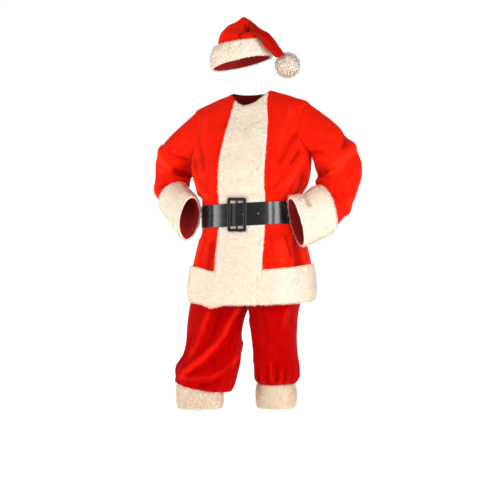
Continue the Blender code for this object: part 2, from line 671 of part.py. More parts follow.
def trouser_leg(name, sections, side, folds):
    rings = leg_rings(sections, side)
    points, out = grid_normals(rings, LEG_STEPS, closed=False)
    seam_rows = LEG_STEPS >= len(HIPS)
    both = out[seam_rows, 0] + out[seam_rows, -1]
    both /= np.linalg.norm(both, axis=-1, keepdims=True)
    out[seam_rows, 0] = out[seam_rows, -1] = both
    for column in (0, -1):
        flat = out[~seam_rows, column] * (0, 1, 1)
        out[~seam_rows, column] = flat / np.linalg.norm(flat, axis=-1, keepdims=True)
    points += out * folds_over(folds, LEG_TURNS, LEG_STEPS)
    points[:, 0] += [side * SEAM, -SEAM, 0]
    points[:, -1] += [side * SEAM, SEAM, 0]
    middle = len(LEG_TURNS) // 2
    front, back = points[:, : middle + 1].copy(), points[:, middle:].copy()
    front[:, -1, 1] -= SEAM / 2
    back[:, 0, 1] += SEAM / 2
    away_front, away_back = out[:, : middle + 1], out[:, middle:]
    wall(f"trouser_front_{name}", front, front - CLOTH * away_front, VELOUR_DARK)
    wall(f"trouser_back_{name}", back, back - CLOTH * away_back, VELOUR_DARK)
    leg_cuff(name, list(sections.values())[-1], side)


def leg_cuff(name, top, side):
    """The trim tube below a leg: straight sides with rolled edges."""
    x, y, z, half_x, half_y, tilt = top
    turns = np.linspace(0, 2 * math.pi, LEG_CUFF_ROUND + 1)[:-1]
    outer, inner = [], []
    for share, depth in LEG_CUFF_PROFILE:
        height = z - CUFF_GAP[name] - share * LEG_CUFF_HEIGHT
        slope = tilt * (1 - share)
        base = leg_ring((x, y, height, half_x - CUFF_INSET, half_y - CUFF_INSET, slope), side, turns)
        away = (base - np.array([x, y, height])) * (1, 1, 0)
        away /= np.linalg.norm(away, axis=-1, keepdims=True)
        inner.append(base)
        outer.append(base + depth * away)
    wall(f"trouser_cuff_{name}", np.array(outer), np.array(inner), PLUSH, closed=True)


def waistband():
    """The elastic casing of the trousers, held between the wearer and the belted jacket."""
    angles = np.linspace(0, 2 * math.pi, WAISTBAND_ROUND + 1)[:-1]
    levels = station("belt low") + np.array([0, 0.5, 1])
    grid = np.broadcast_to(angles, (len(levels), len(angles)))
    points, out = on_torso(grid, levels)
    outer = points - (CLOTH + WAISTBAND_GAP) * out
    wall("trouser_waistband", outer, outer - WAISTBAND_THICKNESS * out, VELOUR_DARK, closed=True)


def hat():
    turns = np.linspace(0, 2 * math.pi, HAT_ROUND + 1)[:-1]
    rings = rings_of(list(HAT.values()), turns, np.array([0, -1.0, 0]))
    points, out = grid_normals(rings, HAT_STEPS)
    wall("hat_crown", points, points - CLOTH * out, VELOUR, closed=True)
    last = HAT_STEPS.index(HAT_BAND_TOP) + 1
    depth = np.full(points[:last].shape[:2], PILE)
    depth[0] = depth[-1] = PILE_EDGE
    outside = points[:last] + (LAY + depth[..., None]) * out[:last]
    wall("hat_band", outside, points[:last] + LAY * out[:last], PLUSH, closed=True)
    tip = points[-1].mean(0)
    along = tip - points[-3].mean(0)
    along /= np.linalg.norm(along)
    pompom(tip + along * (POMPOM_RADIUS - POMPOM_SEAT), Vector(-along))


def pompom(centre, toward_hat):
    """A ball of tapered locks that stand on a round core, one of them against the hat's tip."""
    build = bmesh.new()
    bmesh.ops.create_cube(build, size=2.0)
    bmesh.ops.subdivide_edges(build, edges=build.edges[:], cuts=POMPOM_ROWS, use_grid_fill=True)
    for vert in build.verts:
        vert.co = vert.co.normalized() * POMPOM_CORE
    made = bmesh.ops.poke(build, faces=build.faces[:])
    for vert in made["verts"]:
        vert.co = vert.co.normalized() * POMPOM_RADIUS
    turn = Vector((0, 0, 1)).rotation_difference(toward_hat).to_matrix()
    bmesh.ops.rotate(build, cent=(0, 0, 0), matrix=turn, verts=build.verts[:])
    mesh = bpy.data.meshes.new("hat_pompom")
    bmesh.ops.translate(build, verts=build.verts[:], vec=tuple(centre))
    build.to_mesh(mesh)
    build.free()
    mesh.materials.append(PLUSH)
    SUIT.objects.link(bpy.data.objects.new("hat_pompom", mesh))


BELT_ANGLES = np.linspace(-2.5 * math.pi, 0.5 * math.pi, 361)
BELT_LINE = torso_plain(BELT_ANGLES, np.full(BELT_ANGLES.shape, station("belt low") + 0.5))
BELT_ARC = np.concatenate([[0], np.cumsum(np.linalg.norm(np.diff(BELT_LINE, axis=0), axis=1))])
BELT_ROUND = float(np.interp(0, BELT_ANGLES, BELT_ARC) - np.interp(-2 * math.pi, BELT_ANGLES, BELT_ARC))
BUCKLE_ARC = float(np.interp(0, BELT_ANGLES, BELT_ARC)) - BUCKLE_SHIFT
STRAP_BASE = LAY + PILE_PRESSED + STRAP_GAP
STRAP_ON_CLOTH = LAY + STRAP_GAP
LIFT_SECOND = BELT_THICKNESS + SEAM
LIFT_BAR = BELT_THICKNESS + CENTRE_BAR_DEPTH + 3 * SEAM
LAP_END = 0.060  # where the free end has left the first turn of the strap, from the buckle's centre
# The free end near the buckle: distance from the buckle's centre, and how far it is lifted.
LAP = (
    (-LAP_END, LIFT_SECOND),
    (-0.018, LIFT_SECOND),
    (-0.005, LIFT_BAR),
    (0.005, LIFT_BAR),
    (0.045, 0.0),
)
# Cross sections of the strap: from, to, both along the belt, and how many.
STRAP_RUNS = (
    (FIXED_END, LAP_END - BELT_ROUND, 42),
    (LAP_END - 0.005 - BELT_ROUND, -0.030 - BELT_ROUND, 14),
    (-0.040 - BELT_ROUND, -FREE_END - BELT_ROUND, 6),
)
STRAP_HEIGHTS = (0.03, 0.5, 0.97)  # shares of the belt's height
TRIM_ANGLE = 30  # degrees either side of centre front where the strap stands on the trim
TRIM_EASE = 9  # degrees over which it comes down to the cloth


def belt_frame(near, height):
    """A point and normal on the belted jacket: metres from the buckle, and share of the belt's height."""
    angle = np.interp(BUCKLE_ARC + np.asarray(near, float), BELT_ARC, BELT_ANGLES)
    level = station("belt low") + np.asarray(height, float)
    return torso(angle, level), torso_normals(angle, level), angle


def strap_stand(near):
    """How far the strap's inside stands off the panels. Near runs back from the fixed end."""
    angle = belt_frame(near, 0.5)[2]
    turned = np.abs((np.degrees(angle) + 180) % 360 - 180)
    over_trim = 1 - np.clip((turned - TRIM_ANGLE) / TRIM_EASE, 0, 1)
    base = STRAP_ON_CLOTH + (STRAP_BASE - STRAP_ON_CLOTH) * over_trim
    places, lifts = zip(*LAP)
    return base + np.interp(near, np.array(places) - BELT_ROUND, lifts)


def belt():
    near = np.concatenate([np.linspace(start, end, count) for start, end, count in STRAP_RUNS])
    heights = np.array(STRAP_HEIGHTS)
    grid = np.broadcast_to(near, (len(heights), len(near)))
    level = np.broadcast_to(heights[:, None], grid.shape)
    points, out, _ = belt_frame(grid, level)
    stand = strap_stand(grid)[..., None]
    strap = wall("belt_strap", points + (stand + BELT_THICKNESS) * out, points + stand * out, VINYL)
    for number in BELT_HOLES:
        widen = PRONG_HOLE if number == 0 else 1.0
        cut = strap.modifiers.new(f"hole_{number}", "BOOLEAN")
        cut.operation = "DIFFERENCE"
        cut.object = belt_hole(PRONG_HOLE_AT + number * BELT_HOLE_PITCH, widen)


def belt_hole(near, widen):
    """A round cutter through the strap at a distance from the buckle."""
    point, out, _ = belt_frame(near, 0.5)
    build = bmesh.new()
    radius = BELT_HOLE * widen
    bmesh.ops.create_cone(
        build,
        cap_ends=True,
        segments=BELT_HOLE_SIDES,
        radius1=radius,
        radius2=radius,
        depth=CUTTER_DEPTH,
    )
    return helper("hole_cutter", build, frame_at(point, out))


def helper(name, build, place):
    """A hidden object that a Boolean cuts or joins with."""
    mesh = bpy.data.meshes.new(name)
    build.to_mesh(mesh)
    build.free()
    made = bpy.data.objects.new(name, mesh)
    CUTTERS.objects.link(made)
    made.matrix_world = place
    made.hide_render = True
    made.display_type = "WIRE"
    return made


def frame_at(place, out):
    """A matrix whose Z is the normal and whose Y is upright, at a place."""
    z_axis = Vector(out).normalized()
    x_axis = Vector((0, 0, 1)).cross(z_axis).normalized()
    y_axis = z_axis.cross(x_axis)
    turned = Matrix((x_axis, y_axis, z_axis)).transposed().to_4x4()
    turned.translation = Vector(place)
    return turned


def buckle_place():
    """The buckle's own frame: on the strap's base, X along the belt and Z outward."""
    point, out, _ = belt_frame(0.0, 0.5)
    return frame_at(point + out * STRAP_BASE, out)


def round_box(half_x, half_y, corner, steps=4):
    """The outline of a rectangle with round corners."""
    points = []
    for turn, (side_x, side_y) in enumerate(((1, 1), (-1, 1), (-1, -1), (1, -1))):
        centre_x, centre_y = side_x * (half_x - corner), side_y * (half_y - corner)
        for step in range(steps + 1):
            swing = (turn + step / steps) * math.pi / 2
            points.append((centre_x + corner * math.cos(swing), centre_y + corner * math.sin(swing)))
    return points


def buckle():
    """A rectangular frame over the strap with a lower centre bar under it, and its prong."""
    low, high = BUCKLE_LOW, BUCKLE_LOW + BUCKLE_DEPTH
    edge, ease = 0.0022, 0.0007
    profile = (
        (0, low),
        (0, high - edge),
        (ease, high - ease),
        (edge, high),
        (BUCKLE_BAR - edge, high),
        (BUCKLE_BAR - ease, high - ease),
        (BUCKLE_BAR, high - edge),
        (BUCKLE_BAR, low),
    )
    rows = []
    for inset, height in profile:
        corner = BUCKLE_CORNER - inset * (BUCKLE_CORNER - INNER_CORNER) / BUCKLE_BAR
        outline = round_box(BUCKLE_WIDTH / 2 - inset, BUCKLE_HEIGHT / 2 - inset, corner)
        rows.append([(x, y, height) for x, y in outline])
    frame = looped("belt_buckle", np.array(rows), BUCKLE_FINISH)
    frame.matrix_world = buckle_place()
    join = frame.modifiers.new("centre_bar", "BOOLEAN")
    join.operation = "UNION"
    join.object = centre_bar()
    prong(high)


def centre_bar():
    """The bar under the strap, which reaches into the frame's upper and lower bars."""
    build = bmesh.new()
    bmesh.ops.create_cube(build, size=1.0)
    size = (CENTRE_BAR, BUCKLE_HEIGHT - 2 * BUCKLE_BAR / 3, CENTRE_BAR_DEPTH)
    bmesh.ops.scale(build, vec=size, verts=build.verts[:])
    middle = BELT_THICKNESS + SEAM + CENTRE_BAR_DEPTH / 2
    bmesh.ops.translate(build, vec=(0, 0, middle), verts=build.verts[:])
    return helper("buckle_bar", build, buckle_place())


def looped(name, grid, finish):
    """A closed ring solid from a grid that joins up both ways."""
    rows, columns = grid.shape[:2]
    faces = []
    for row in range(rows):
        for column in range(columns):
            after, beyond = (row + 1) % rows, (column + 1) % columns
            faces.append(
                (
                    row * columns + column,
                    row * columns + beyond,
                    after * columns + beyond,
                    after * columns + column,
                )
            )
    return add_mesh(name, grid.reshape(-1, 3), faces, finish)


def prong(high):
    """A bent rod from under the strap, through its hole, to rest on the frame's side bar."""
    curve = bpy.data.curves.new("belt_prong", "CURVE")
    curve.dimensions = "3D"
    curve.bevel_depth = PRONG_RADIUS
    curve.bevel_resolution = 1
    curve.use_fill_caps = True
    line = curve.splines.new("POLY")
    rest = high + PRONG_RADIUS + SEAM
    route = (*PRONG_ROUTE, (PRONG_REST, rest), (BUCKLE_WIDTH / 2 + PRONG_PAST, rest))
    line.points.add(len(route) - 1)
    for point, (along, height) in zip(line.points, route):
        point.co = (along, 0, height, 1.0)
    obj = bpy.data.objects.new("belt_prong", curve)
    obj.matrix_world = buckle_place()
    curve.materials.append(BUCKLE_FINISH)
    SUIT.objects.link(obj)


def main():
    jacket_body()
    jacket_trim()
    sleeve("left", SLEEVE_LEFT, 1, SLEEVE_FOLDS_LEFT)
    sleeve("right", SLEEVE_RIGHT, -1, SLEEVE_FOLDS_RIGHT)
    trouser_leg("left", LEG_LEFT, 1, LEG_FOLDS_LEFT)
    trouser_leg("right", LEG_RIGHT, -1, LEG_FOLDS_RIGHT)
    waistband()
    hat()
    belt()
    buckle()


clear_scene()
SUIT = bpy.data.collections.new("santa_suit")
CUTTERS = bpy.data.collections.new("cutters")
bpy.context.scene.collection.children.link(SUIT)
bpy.context.scene.collection.children.link(CUTTERS)
VELOUR = material("red_velour", RED, 0.85)
VELOUR_DARK = material("red_velour_trousers", DARK_RED, 0.85)
PLUSH = material("cream_plush", CREAM, 0.95)
VINYL = material("black_vinyl", BLACK, 0.35)
BUCKLE_FINISH = material("buckle_plastic", BRONZE_BLACK, 0.3)
main()
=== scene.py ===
"""Looks of the santa suit: fine cloth shells, plush with its pile, vinyl belt, light and camera.

Metres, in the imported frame: +Z up, the wearer faces -Y and the wearer's left is +X. The origin is
the centre of the neck opening. Each garment's form comes from the same section tables as its solids,
with finer folds, seams and pile added here.
"""

import json
import math
from collections import namedtuple

import bmesh
import bpy
import numpy as np
from mathutils import Matrix, Vector, kdtree, noise

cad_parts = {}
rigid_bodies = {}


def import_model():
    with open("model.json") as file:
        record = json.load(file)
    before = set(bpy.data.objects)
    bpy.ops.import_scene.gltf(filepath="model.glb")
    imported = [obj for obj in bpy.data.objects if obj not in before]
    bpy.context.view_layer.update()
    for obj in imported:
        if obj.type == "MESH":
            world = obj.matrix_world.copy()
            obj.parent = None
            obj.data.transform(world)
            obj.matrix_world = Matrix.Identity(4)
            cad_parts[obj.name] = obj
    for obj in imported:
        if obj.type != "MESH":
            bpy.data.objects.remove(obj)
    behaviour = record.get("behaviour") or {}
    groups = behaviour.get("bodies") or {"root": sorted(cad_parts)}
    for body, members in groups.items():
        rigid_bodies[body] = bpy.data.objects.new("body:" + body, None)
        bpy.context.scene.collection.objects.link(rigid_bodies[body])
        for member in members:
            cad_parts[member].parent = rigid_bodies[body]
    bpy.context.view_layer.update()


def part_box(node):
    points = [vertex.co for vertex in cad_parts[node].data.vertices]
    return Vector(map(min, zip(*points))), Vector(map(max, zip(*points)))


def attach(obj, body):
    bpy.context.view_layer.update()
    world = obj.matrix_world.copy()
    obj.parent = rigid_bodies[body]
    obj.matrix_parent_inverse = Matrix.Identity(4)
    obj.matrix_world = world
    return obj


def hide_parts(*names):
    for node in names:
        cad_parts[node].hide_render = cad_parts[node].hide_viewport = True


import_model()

# Cloth and trim
CLOTH = 0.002
LAY = 0.0005  # gap between a panel and what lies on it
SEAM = 0.0003
SEAM_DIP = 0.0009  # how far a seam pulls the cloth in
SEAM_REACH = 0.0045
ROW = 0.0062  # mesh spacing
PILE_BASE = 0.0066  # dense lower part of the trim
PILE_PRESSED = 0.0032  # trim under the belt
PILE_LENGTH = 0.0068  # loose tips above the dense part
PILE_ROLL = 0.0075  # how wide the trim's rolled edge is
PILE_MEETS = 0.0025  # how far along its roll the trim starts at the front's closure
ROUND_EDGES = ((0, False, PILE_ROLL, 0.0), (0, True, PILE_ROLL, 0.0))
PILE_EDGE = 0.0016  # depth of the trim at a rolled edge
PILE_LUMP = 0.001
PILE_SMALL_LUMP = 0.0005
PILE_SHORTEST = 0.0012
PILE_WIDTH = 0.00095
PILE_PER_M2 = 228000
CLUMP_SPACING = 0.0075
CLUMP_LEAN = 0.42
STRAND_WANDER = 0.3
STRAND_LENGTHS = (0.72, 1.12)  # least and greatest share
STRAND_WIDTHS = (0.7, 1.25)
STRAND_GATHER = (0.25, 0.6)  # how far a strand's tip goes to its clump's
STRAND_BEND = 0.16
STRAND_SUNK = 0.0012
STRAND_TAPER = 0.8
STRAND_FACING = 0.45
FRONT_RADIUS = 0.2  # from the jacket's axis to its front and side, for seams given as angles
SIDE_RADIUS = 0.23


def table(kind, *rows):
    """Rows of a named kind, whose field names are the columns."""
    return tuple(kind(*row) for row in rows)


# What each piece is cut to in metres: its greatest width and length, and its area
Cut = namedtuple("Cut", "width length area")

# Jacket. Sections are numbered from 0 at the hem, and half numbers lie between two.
BAND_CLOSE = 0.82
HEM_DROP = 0.014
HEM_DROP_ANGLE = -27
HEM_DROP_WIDTH = 11
HEM_TUCK = 0.014  # how far the hem's lower edge curls in
HEM_TUCK_REACH = 0.36
ARMHOLE_HALF_ANGLE = math.radians(33)
ARMHOLE_ROWS = 38
SLEEVE_HEAD = 0.997
FOLD_FADE = 0.7
CREASE_LIFT = 1.5  # how much deeper the fine creases are than on the plain solids
TORSO_SLACK = 0.0022  # how uneven the cloth is
SLEEVE_SLACK = 0.0018
LEG_SLACK = 0.0024
HAT_SLACK = 0.0014
FOLD_SHADING_DEPTH = 0.008  # fold depth at which the painted highlight on ridges and the painted shade in troughs are strongest
LEG_FOLD_SHADING_DEPTH = 0.015

Station = namedtuple("Station", "z_front z_side z_back half_width front back tilt square")
TORSO = {
    "hem": Station(-0.838, -0.832, -0.834, 0.253, 0.205, 0.195, 0.7, 2.2),
    "hem trim top": Station(-0.704, -0.688, -0.69, 0.236, 0.19, 0.176, 0.8, 2.2),
    "skirt": Station(-0.61, -0.61, -0.61, 0.217, 0.174, 0.162, 2.0, 2.2),
    "below belt": Station(-0.555, -0.555, -0.555, 0.205, 0.161, 0.151, 3.2, 2.2),
    "belt low": Station(-0.531, -0.531, -0.531, 0.203, 0.16, 0.15, 3.2, 2.2),
    "belt high": Station(-0.438, -0.438, -0.438, 0.203, 0.16, 0.15, 3.2, 2.2),
    "above belt": Station(-0.414, -0.414, -0.414, 0.206, 0.161, 0.152, 3.2, 2.2),
    "blouse": Station(-0.376, -0.372, -0.372, 0.229, 0.178, 0.168, 3.2, 2.3),
    "ribs": Station(-0.312, -0.307, -0.307, 0.24, 0.173, 0.168, 3.2, 2.4),
    "armpit": Station(-0.252, -0.236, -0.242, 0.244, 0.156, 0.16, 3.2, 2.4),
    "chest": Station(-0.174, -0.148, -0.154, 0.246, 0.132, 0.15, 3.2, 2.4),
    "shoulder": Station(-0.108, -0.055, -0.077, 0.236, 0.1, 0.124, 3.4, 2.3),
    "yoke": Station(-0.07, -0.024, -0.032, 0.172, 0.086, 0.1, 3.4, 2.1),
    "neck": Station(-0.052, 0.01, 0.004, 0.08, 0.074, 0.07, 3.4, 2.0),
}
Band = namedtuple("Band", "section right left")
BAND = table(
    Band,
    ("hem", 0.1, 0.09),
    ("belt low", 0.093, 0.094),
    ("armpit", 0.087, 0.098),
    ("chest", 0.075, 0.098),
    ("shoulder", 0.064, 0.092),
    ("neck", 0.052, 0.076),
)
TorsoFold = namedtuple("TorsoFold", "angle low high width depth")
TORSO_FOLDS = table(
    TorsoFold,
    (-62, 0.0, 2.9, 9, 0.009),
    (-34, 0.2, 2.8, 7, -0.005),
    (42, 0.2, 2.8, 8, 0.006),
    (68, 0.0, 2.9, 9, -0.007),
    (112, 0.0, 2.9, 10, 0.009),
    (150, 0.2, 2.8, 9, -0.006),
    (-112, 0.0, 2.9, 10, 0.009),
    (-148, 0.2, 2.8, 9, -0.007),
    (178, 0.1, 2.9, 10, 0.007),
    (46, 6.2, 8.4, 8, 0.006),
    (74, 6.1, 8.0, 8, -0.006),
    (-46, 6.2, 8.6, 8, 0.006),
    (-76, 6.1, 8.0, 8, -0.006),
    (126, 6.1, 9.0, 9, 0.007),
    (-124, 6.1, 9.0, 9, 0.007),
    (180, 6.1, 8.6, 10, -0.006),
)

# Finer creases. Depth is how far the cloth stands out there, width is in metres, and the path runs
# over (angle or turn in degrees, section) pairs.
Crease = namedtuple("Crease", "depth width path")
TORSO_CREASES = table(
    Crease,
    (-0.0045, 0.011, ((62, 8.9), (50, 8.2), (41, 7.4))),
    (0.004, 0.012, ((70, 8.6), (60, 7.9), (52, 7.0))),
    (-0.004, 0.01, ((-60, 8.8), (-50, 8.1), (-44, 7.3))),
    (0.0035, 0.012, ((-69, 8.5), (-61, 7.7), (-56, 7.0))),
    (-0.003, 0.016, ((56, 9.8), (44, 9.3), (36, 8.4))),
    (-0.003, 0.015, ((-50, 9.9), (-42, 9.2), (-38, 8.3))),
    (0.0028, 0.017, ((50, 11.3), (40, 10.4), (34, 9.2))),
    (0.0026, 0.016, ((-44, 11.2), (-38, 10.3), (-34, 9.4))),
    (-0.0036, 0.008, ((31, 6.15), (33, 6.6), (37, 7.2))),
    (-0.004, 0.007, ((57, 6.1), (56, 6.7), (60, 7.2))),
    (0.0034, 0.007, ((63, 6.1), (65, 6.8))),
    (-0.0036, 0.008, ((-36, 6.1), (-37, 6.6), (-41, 7.3))),
    (-0.0038, 0.007, ((-57, 6.1), (-56, 6.8), (-62, 7.3))),
    (0.0032, 0.007, ((-66, 6.1), (-68, 6.7))),
    (-0.004, 0.008, ((85, 6.1), (88, 6.8), (84, 7.4))),
    (-0.004, 0.008, ((-88, 6.1), (-86, 6.9))),
    (-0.0042, 0.008, ((50, 2.9), (53, 2.3), (56, 1.5))),
    (0.003, 0.008, ((59, 2.9), (61, 2.2))),
    (-0.0034, 0.007, ((33, 2.9), (32, 2.3), (31, 1.8))),
    (-0.0042, 0.008, ((-47, 2.9), (-49, 2.3), (-52, 1.5))),
    (0.003, 0.008, ((-73, 2.9), (-74, 2.2), (-76, 1.6))),
    (-0.0034, 0.008, ((84, 2.9), (87, 2.2), (90, 1.3))),
    (-0.004, 0.009, ((140, 6.1), (143, 6.8), (150, 7.6))),
    (0.0034, 0.009, ((160, 6.1), (158, 7.0))),
    (-0.004, 0.009, ((-141, 6.1), (-145, 6.9), (-152, 7.8))),
    (0.0036, 0.009, ((-165, 6.1), (-162, 6.9))),
    (-0.0044, 0.011, ((118, 9.2), (132, 8.5), (148, 8.2))),
    (-0.0042, 0.011, ((-119, 9.1), (-134, 8.4), (-151, 8.0))),
    (0.0036, 0.013, ((122, 9.9), (140, 9.3), (160, 9.1))),
    (0.0036, 0.013, ((-124, 9.8), (-142, 9.2), (-163, 9.2))),
    (-0.0036, 0.009, ((128, 2.9), (131, 2.2), (134, 1.4))),
    (-0.0036, 0.009, ((-129, 2.9), (-132, 2.1), (-134, 1.5))),
    (0.003, 0.008, ((164, 2.9), (166, 2.1))),
    (-0.0032, 0.008, ((-168, 2.9), (-166, 2.3), (-165, 1.7))),
)

# Sleeve sections below the armhole: the outer and the inner point, and half the depth.
Oval = namedtuple("Oval", "outer inner half_depth")
SLEEVE_LEFT = {
    "upper arm": Oval((0.346, 0.008, -0.127), (0.255, 0.013, -0.278), 0.09),
    "above elbow": Oval((0.413, 0.041, -0.214), (0.261, 0.027, -0.322), 0.088),
    "elbow": Oval((0.443, 0.055, -0.299), (0.263, 0.019, -0.346), 0.082),
    "forearm": Oval((0.426, 0.018, -0.407), (0.266, -0.003, -0.359), 0.072),
    "cuff seam": Oval((0.35, -0.054, -0.54), (0.295, -0.046, -0.376), 0.06),
    "mouth": Oval((0.242, -0.134, -0.605), (0.195, -0.141, -0.428), 0.05),
}
SLEEVE_RIGHT = {
    "upper arm": Oval((-0.333, 0.036, -0.149), (-0.266, 0.018, -0.281), 0.09),
    "above elbow": Oval((-0.405, 0.066, -0.219), (-0.275, 0.031, -0.313), 0.086),
    "elbow": Oval((-0.428, 0.079, -0.291), (-0.277, 0.026, -0.334), 0.079),
    "forearm": Oval((-0.421, 0.051, -0.376), (-0.282, 0.008, -0.342), 0.068),
    "cuff seam": Oval((-0.366, -0.013, -0.459), (-0.293, -0.024, -0.359), 0.056),
    "mouth": Oval((-0.248, -0.098, -0.583), (-0.22, -0.098, -0.418), 0.045),
}
SLEEVE_CREASES_LEFT = table(
    Crease,
    (0.006, 0.017, ((-20, 1.9), (40, 2.1), (95, 2.1))),
    (-0.005, 0.014, ((-10, 1.5), (50, 1.7))),
    (-0.008, 0.014, ((175, 2.5), (120, 2.8))),
    (0.006, 0.014, ((170, 3.2), (125, 3.3), (80, 3.1))),
    (0.006, 0.016, ((215, 2.3), (270, 2.0), (310, 2.1))),
    (-0.006, 0.014, ((190, 2.8), (240, 3.0))),
    (0.007, 0.018, ((300, 4.3), (350, 4.5), (40, 4.4))),
    (-0.004, 0.008, ((165, 2.9), (130, 3.0), (100, 2.8))),
    (0.0034, 0.007, ((168, 2.7), (138, 2.55), (112, 2.5))),
    (-0.0036, 0.007, ((170, 3.5), (140, 3.7), (115, 3.9))),
    (0.003, 0.008, ((166, 3.9), (135, 4.2), (100, 4.4))),
    (-0.0036, 0.01, ((160, 0.4), (120, 0.8), (95, 1.4))),
    (0.003, 0.01, ((150, 0.9), (112, 1.4), (70, 1.7))),
    (-0.0034, 0.009, ((198, 3.3), (235, 3.5), (268, 3.4))),
    (0.003, 0.009, ((200, 2.4), (230, 2.4), (262, 2.6))),
    (-0.0036, 0.01, ((200, 0.5), (240, 0.9), (275, 1.5))),
    (-0.003, 0.009, ((20, 4.75), (60, 4.6), (100, 4.7))),
    (0.0024, 0.012, ((20, 3.0), (50, 3.4), (60, 4.0))),
    (-0.01, 0.01, ((198, 5.6), (170, 5.66), (141, 5.7), (122, 5.7))),
    (0.0036, 0.012, ((196, 5.95), (160, 5.98), (136, 6.0))),
    (0.0036, 0.012, ((196, 5.28), (160, 5.34), (136, 5.38))),
)
SLEEVE_CREASES_RIGHT = table(
    Crease,
    (0.005, 0.016, ((0, 1.8), (60, 1.7), (110, 2.1))),
    (-0.008, 0.014, ((180, 2.5), (130, 2.4))),
    (0.006, 0.014, ((170, 3.1), (120, 3.4), (80, 3.3))),
    (0.006, 0.016, ((215, 2.2), (270, 2.1), (320, 2.4))),
    (-0.006, 0.014, ((190, 2.8), (245, 3.1))),
    (0.006, 0.018, ((310, 4.4), (0, 4.5), (50, 4.3))),
    (-0.0042, 0.008, ((170, 2.85), (135, 2.9), (104, 3.1))),
    (0.0032, 0.007, ((172, 2.65), (140, 2.65), (112, 2.75))),
    (-0.0036, 0.008, ((166, 3.4), (138, 3.75), (104, 3.9))),
    (-0.0036, 0.01, ((160, 0.5), (124, 0.9), (92, 1.3))),
    (0.0028, 0.01, ((148, 1.0), (110, 1.4), (74, 1.3))),
    (-0.0034, 0.009, ((196, 3.3), (232, 3.6), (262, 3.6))),
    (0.003, 0.009, ((202, 2.5), (236, 2.5), (266, 2.8))),
    (-0.0036, 0.01, ((202, 0.5), (240, 1.0), (280, 1.6))),
    (-0.003, 0.009, ((30, 4.7), (70, 4.6), (110, 4.75))),
)
CUFF_FROM = 5.0
SLEEVE_ROUND = 84

# Trouser sections: leg centre, half sizes across and along the stance, tilt down to the inside.
LegSection = namedtuple("LegSection", "x y z half_x half_y tilt")
LEG_LEFT = {
    "crotch": LegSection(0.091, 0.004, -0.852, 0.104, 0.128, 0.0),
    "thigh": LegSection(0.092, 0.006, -0.91, 0.093, 0.116, 0.0),
    "above knee": LegSection(0.094, 0.01, -0.98, 0.087, 0.104, 0.0),
    "knee": LegSection(0.096, 0.016, -1.04, 0.088, 0.1, 0.0),
    "calf": LegSection(0.098, 0.024, -1.1, 0.092, 0.104, 0.0),
    "overhang": LegSection(0.098, 0.028, -1.14, 0.089, 0.098, 1.0),
    "tuck": LegSection(0.096, 0.029, -1.159, 0.082, 0.088, 0.0),
    "gathered": LegSection(0.094, 0.03, -1.1675, 0.073, 0.077, 0.0),
}
LEG_RIGHT = {
    "crotch": LegSection(-0.135, -0.004, -0.852, 0.12, 0.128, 0.0),
    "thigh": LegSection(-0.149, -0.01, -0.91, 0.115, 0.12, 1.0),
    "above knee": LegSection(-0.154, -0.022, -0.98, 0.111, 0.114, 2.0),
    "knee": LegSection(-0.157, -0.032, -1.045, 0.115, 0.113, 4.0),
    "calf": LegSection(-0.176, -0.044, -1.118, 0.124, 0.118, 8.0),
    "overhang": LegSection(-0.19, -0.05, -1.172, 0.112, 0.112, 13.0),
    "tuck": LegSection(-0.198, -0.055, -1.18, 0.105, 0.103, 11.0),
    "gathered": LegSection(-0.203, -0.06, -1.1665, 0.086, 0.085, 7.0),
}
HipSection = namedtuple("HipSection", "share z_centre z_side half_width front back tilt")
HIPS = {
    "waist": HipSection(1.00, -0.5313, -0.5313, 0.1985, 0.1555, 0.1455, 3.2),
    "high hip": HipSection(1.00, -0.62, -0.62, 0.204, 0.158, 0.148, 2.0),
    "hip": HipSection(1.00, -0.71, -0.7, 0.209, 0.16, 0.152, 1.0),
    "rise": HipSection(0.85, -0.8, -0.77, 0.216, 0.158, 0.152, 0.0),
    "fork": HipSection(0.45, -0.842, -0.816, 0.222, 0.14, 0.14, 0.0),
}
HIP_SQUARE = 2.2
LEG_CREASES_RIGHT = table(
    Crease,
    (0.006, 0.015, ((92, 4.9), (89, 5.6), (108, 7.6), (122, 8.2))),
    (0.008, 0.017, ((36, 5.2), (54, 6.8), (93, 8.2), (126, 9.4))),
    (0.006, 0.014, ((14, 8.0), (61, 9.0), (108, 9.5))),
    (-0.005, 0.014, ((64, 5.4), (76, 7.0), (100, 7.9))),
    (-0.003, 0.012, ((70, 9.5), (110, 9.7))),
    (0.006, 0.015, ((300, 5.2), (275, 7.0), (240, 8.6))),
    (0.007, 0.016, ((335, 7.4), (300, 8.6), (255, 9.4))),
    (-0.005, 0.014, ((268, 5.4), (250, 7.2))),
    (0.004, 0.008, ((70, 7.4), (96, 8.5), (112, 9.0))),
    (-0.004, 0.008, ((52, 7.5), (82, 8.7), (110, 9.2))),
    (-0.004, 0.009, ((120, 6.6), (134, 7.6), (148, 8.6))),
    (0.0034, 0.008, ((140, 7.0), (152, 8.2), (160, 9.4))),
    (-0.0038, 0.008, ((30, 8.4), (58, 9.4), (84, 9.9))),
    (-0.0036, 0.008, ((20, 5.6), (26, 6.8), (40, 7.6))),
    (0.0036, 0.008, ((8, 6.4), (18, 7.6), (30, 8.6))),
    (-0.004, 0.009, ((320, 6.2), (296, 7.6), (270, 8.4))),
    (-0.004, 0.009, ((210, 6.8), (222, 8.0), (236, 9.0))),
    (0.0036, 0.009, ((190, 5.8), (204, 7.4), (214, 8.8))),
)
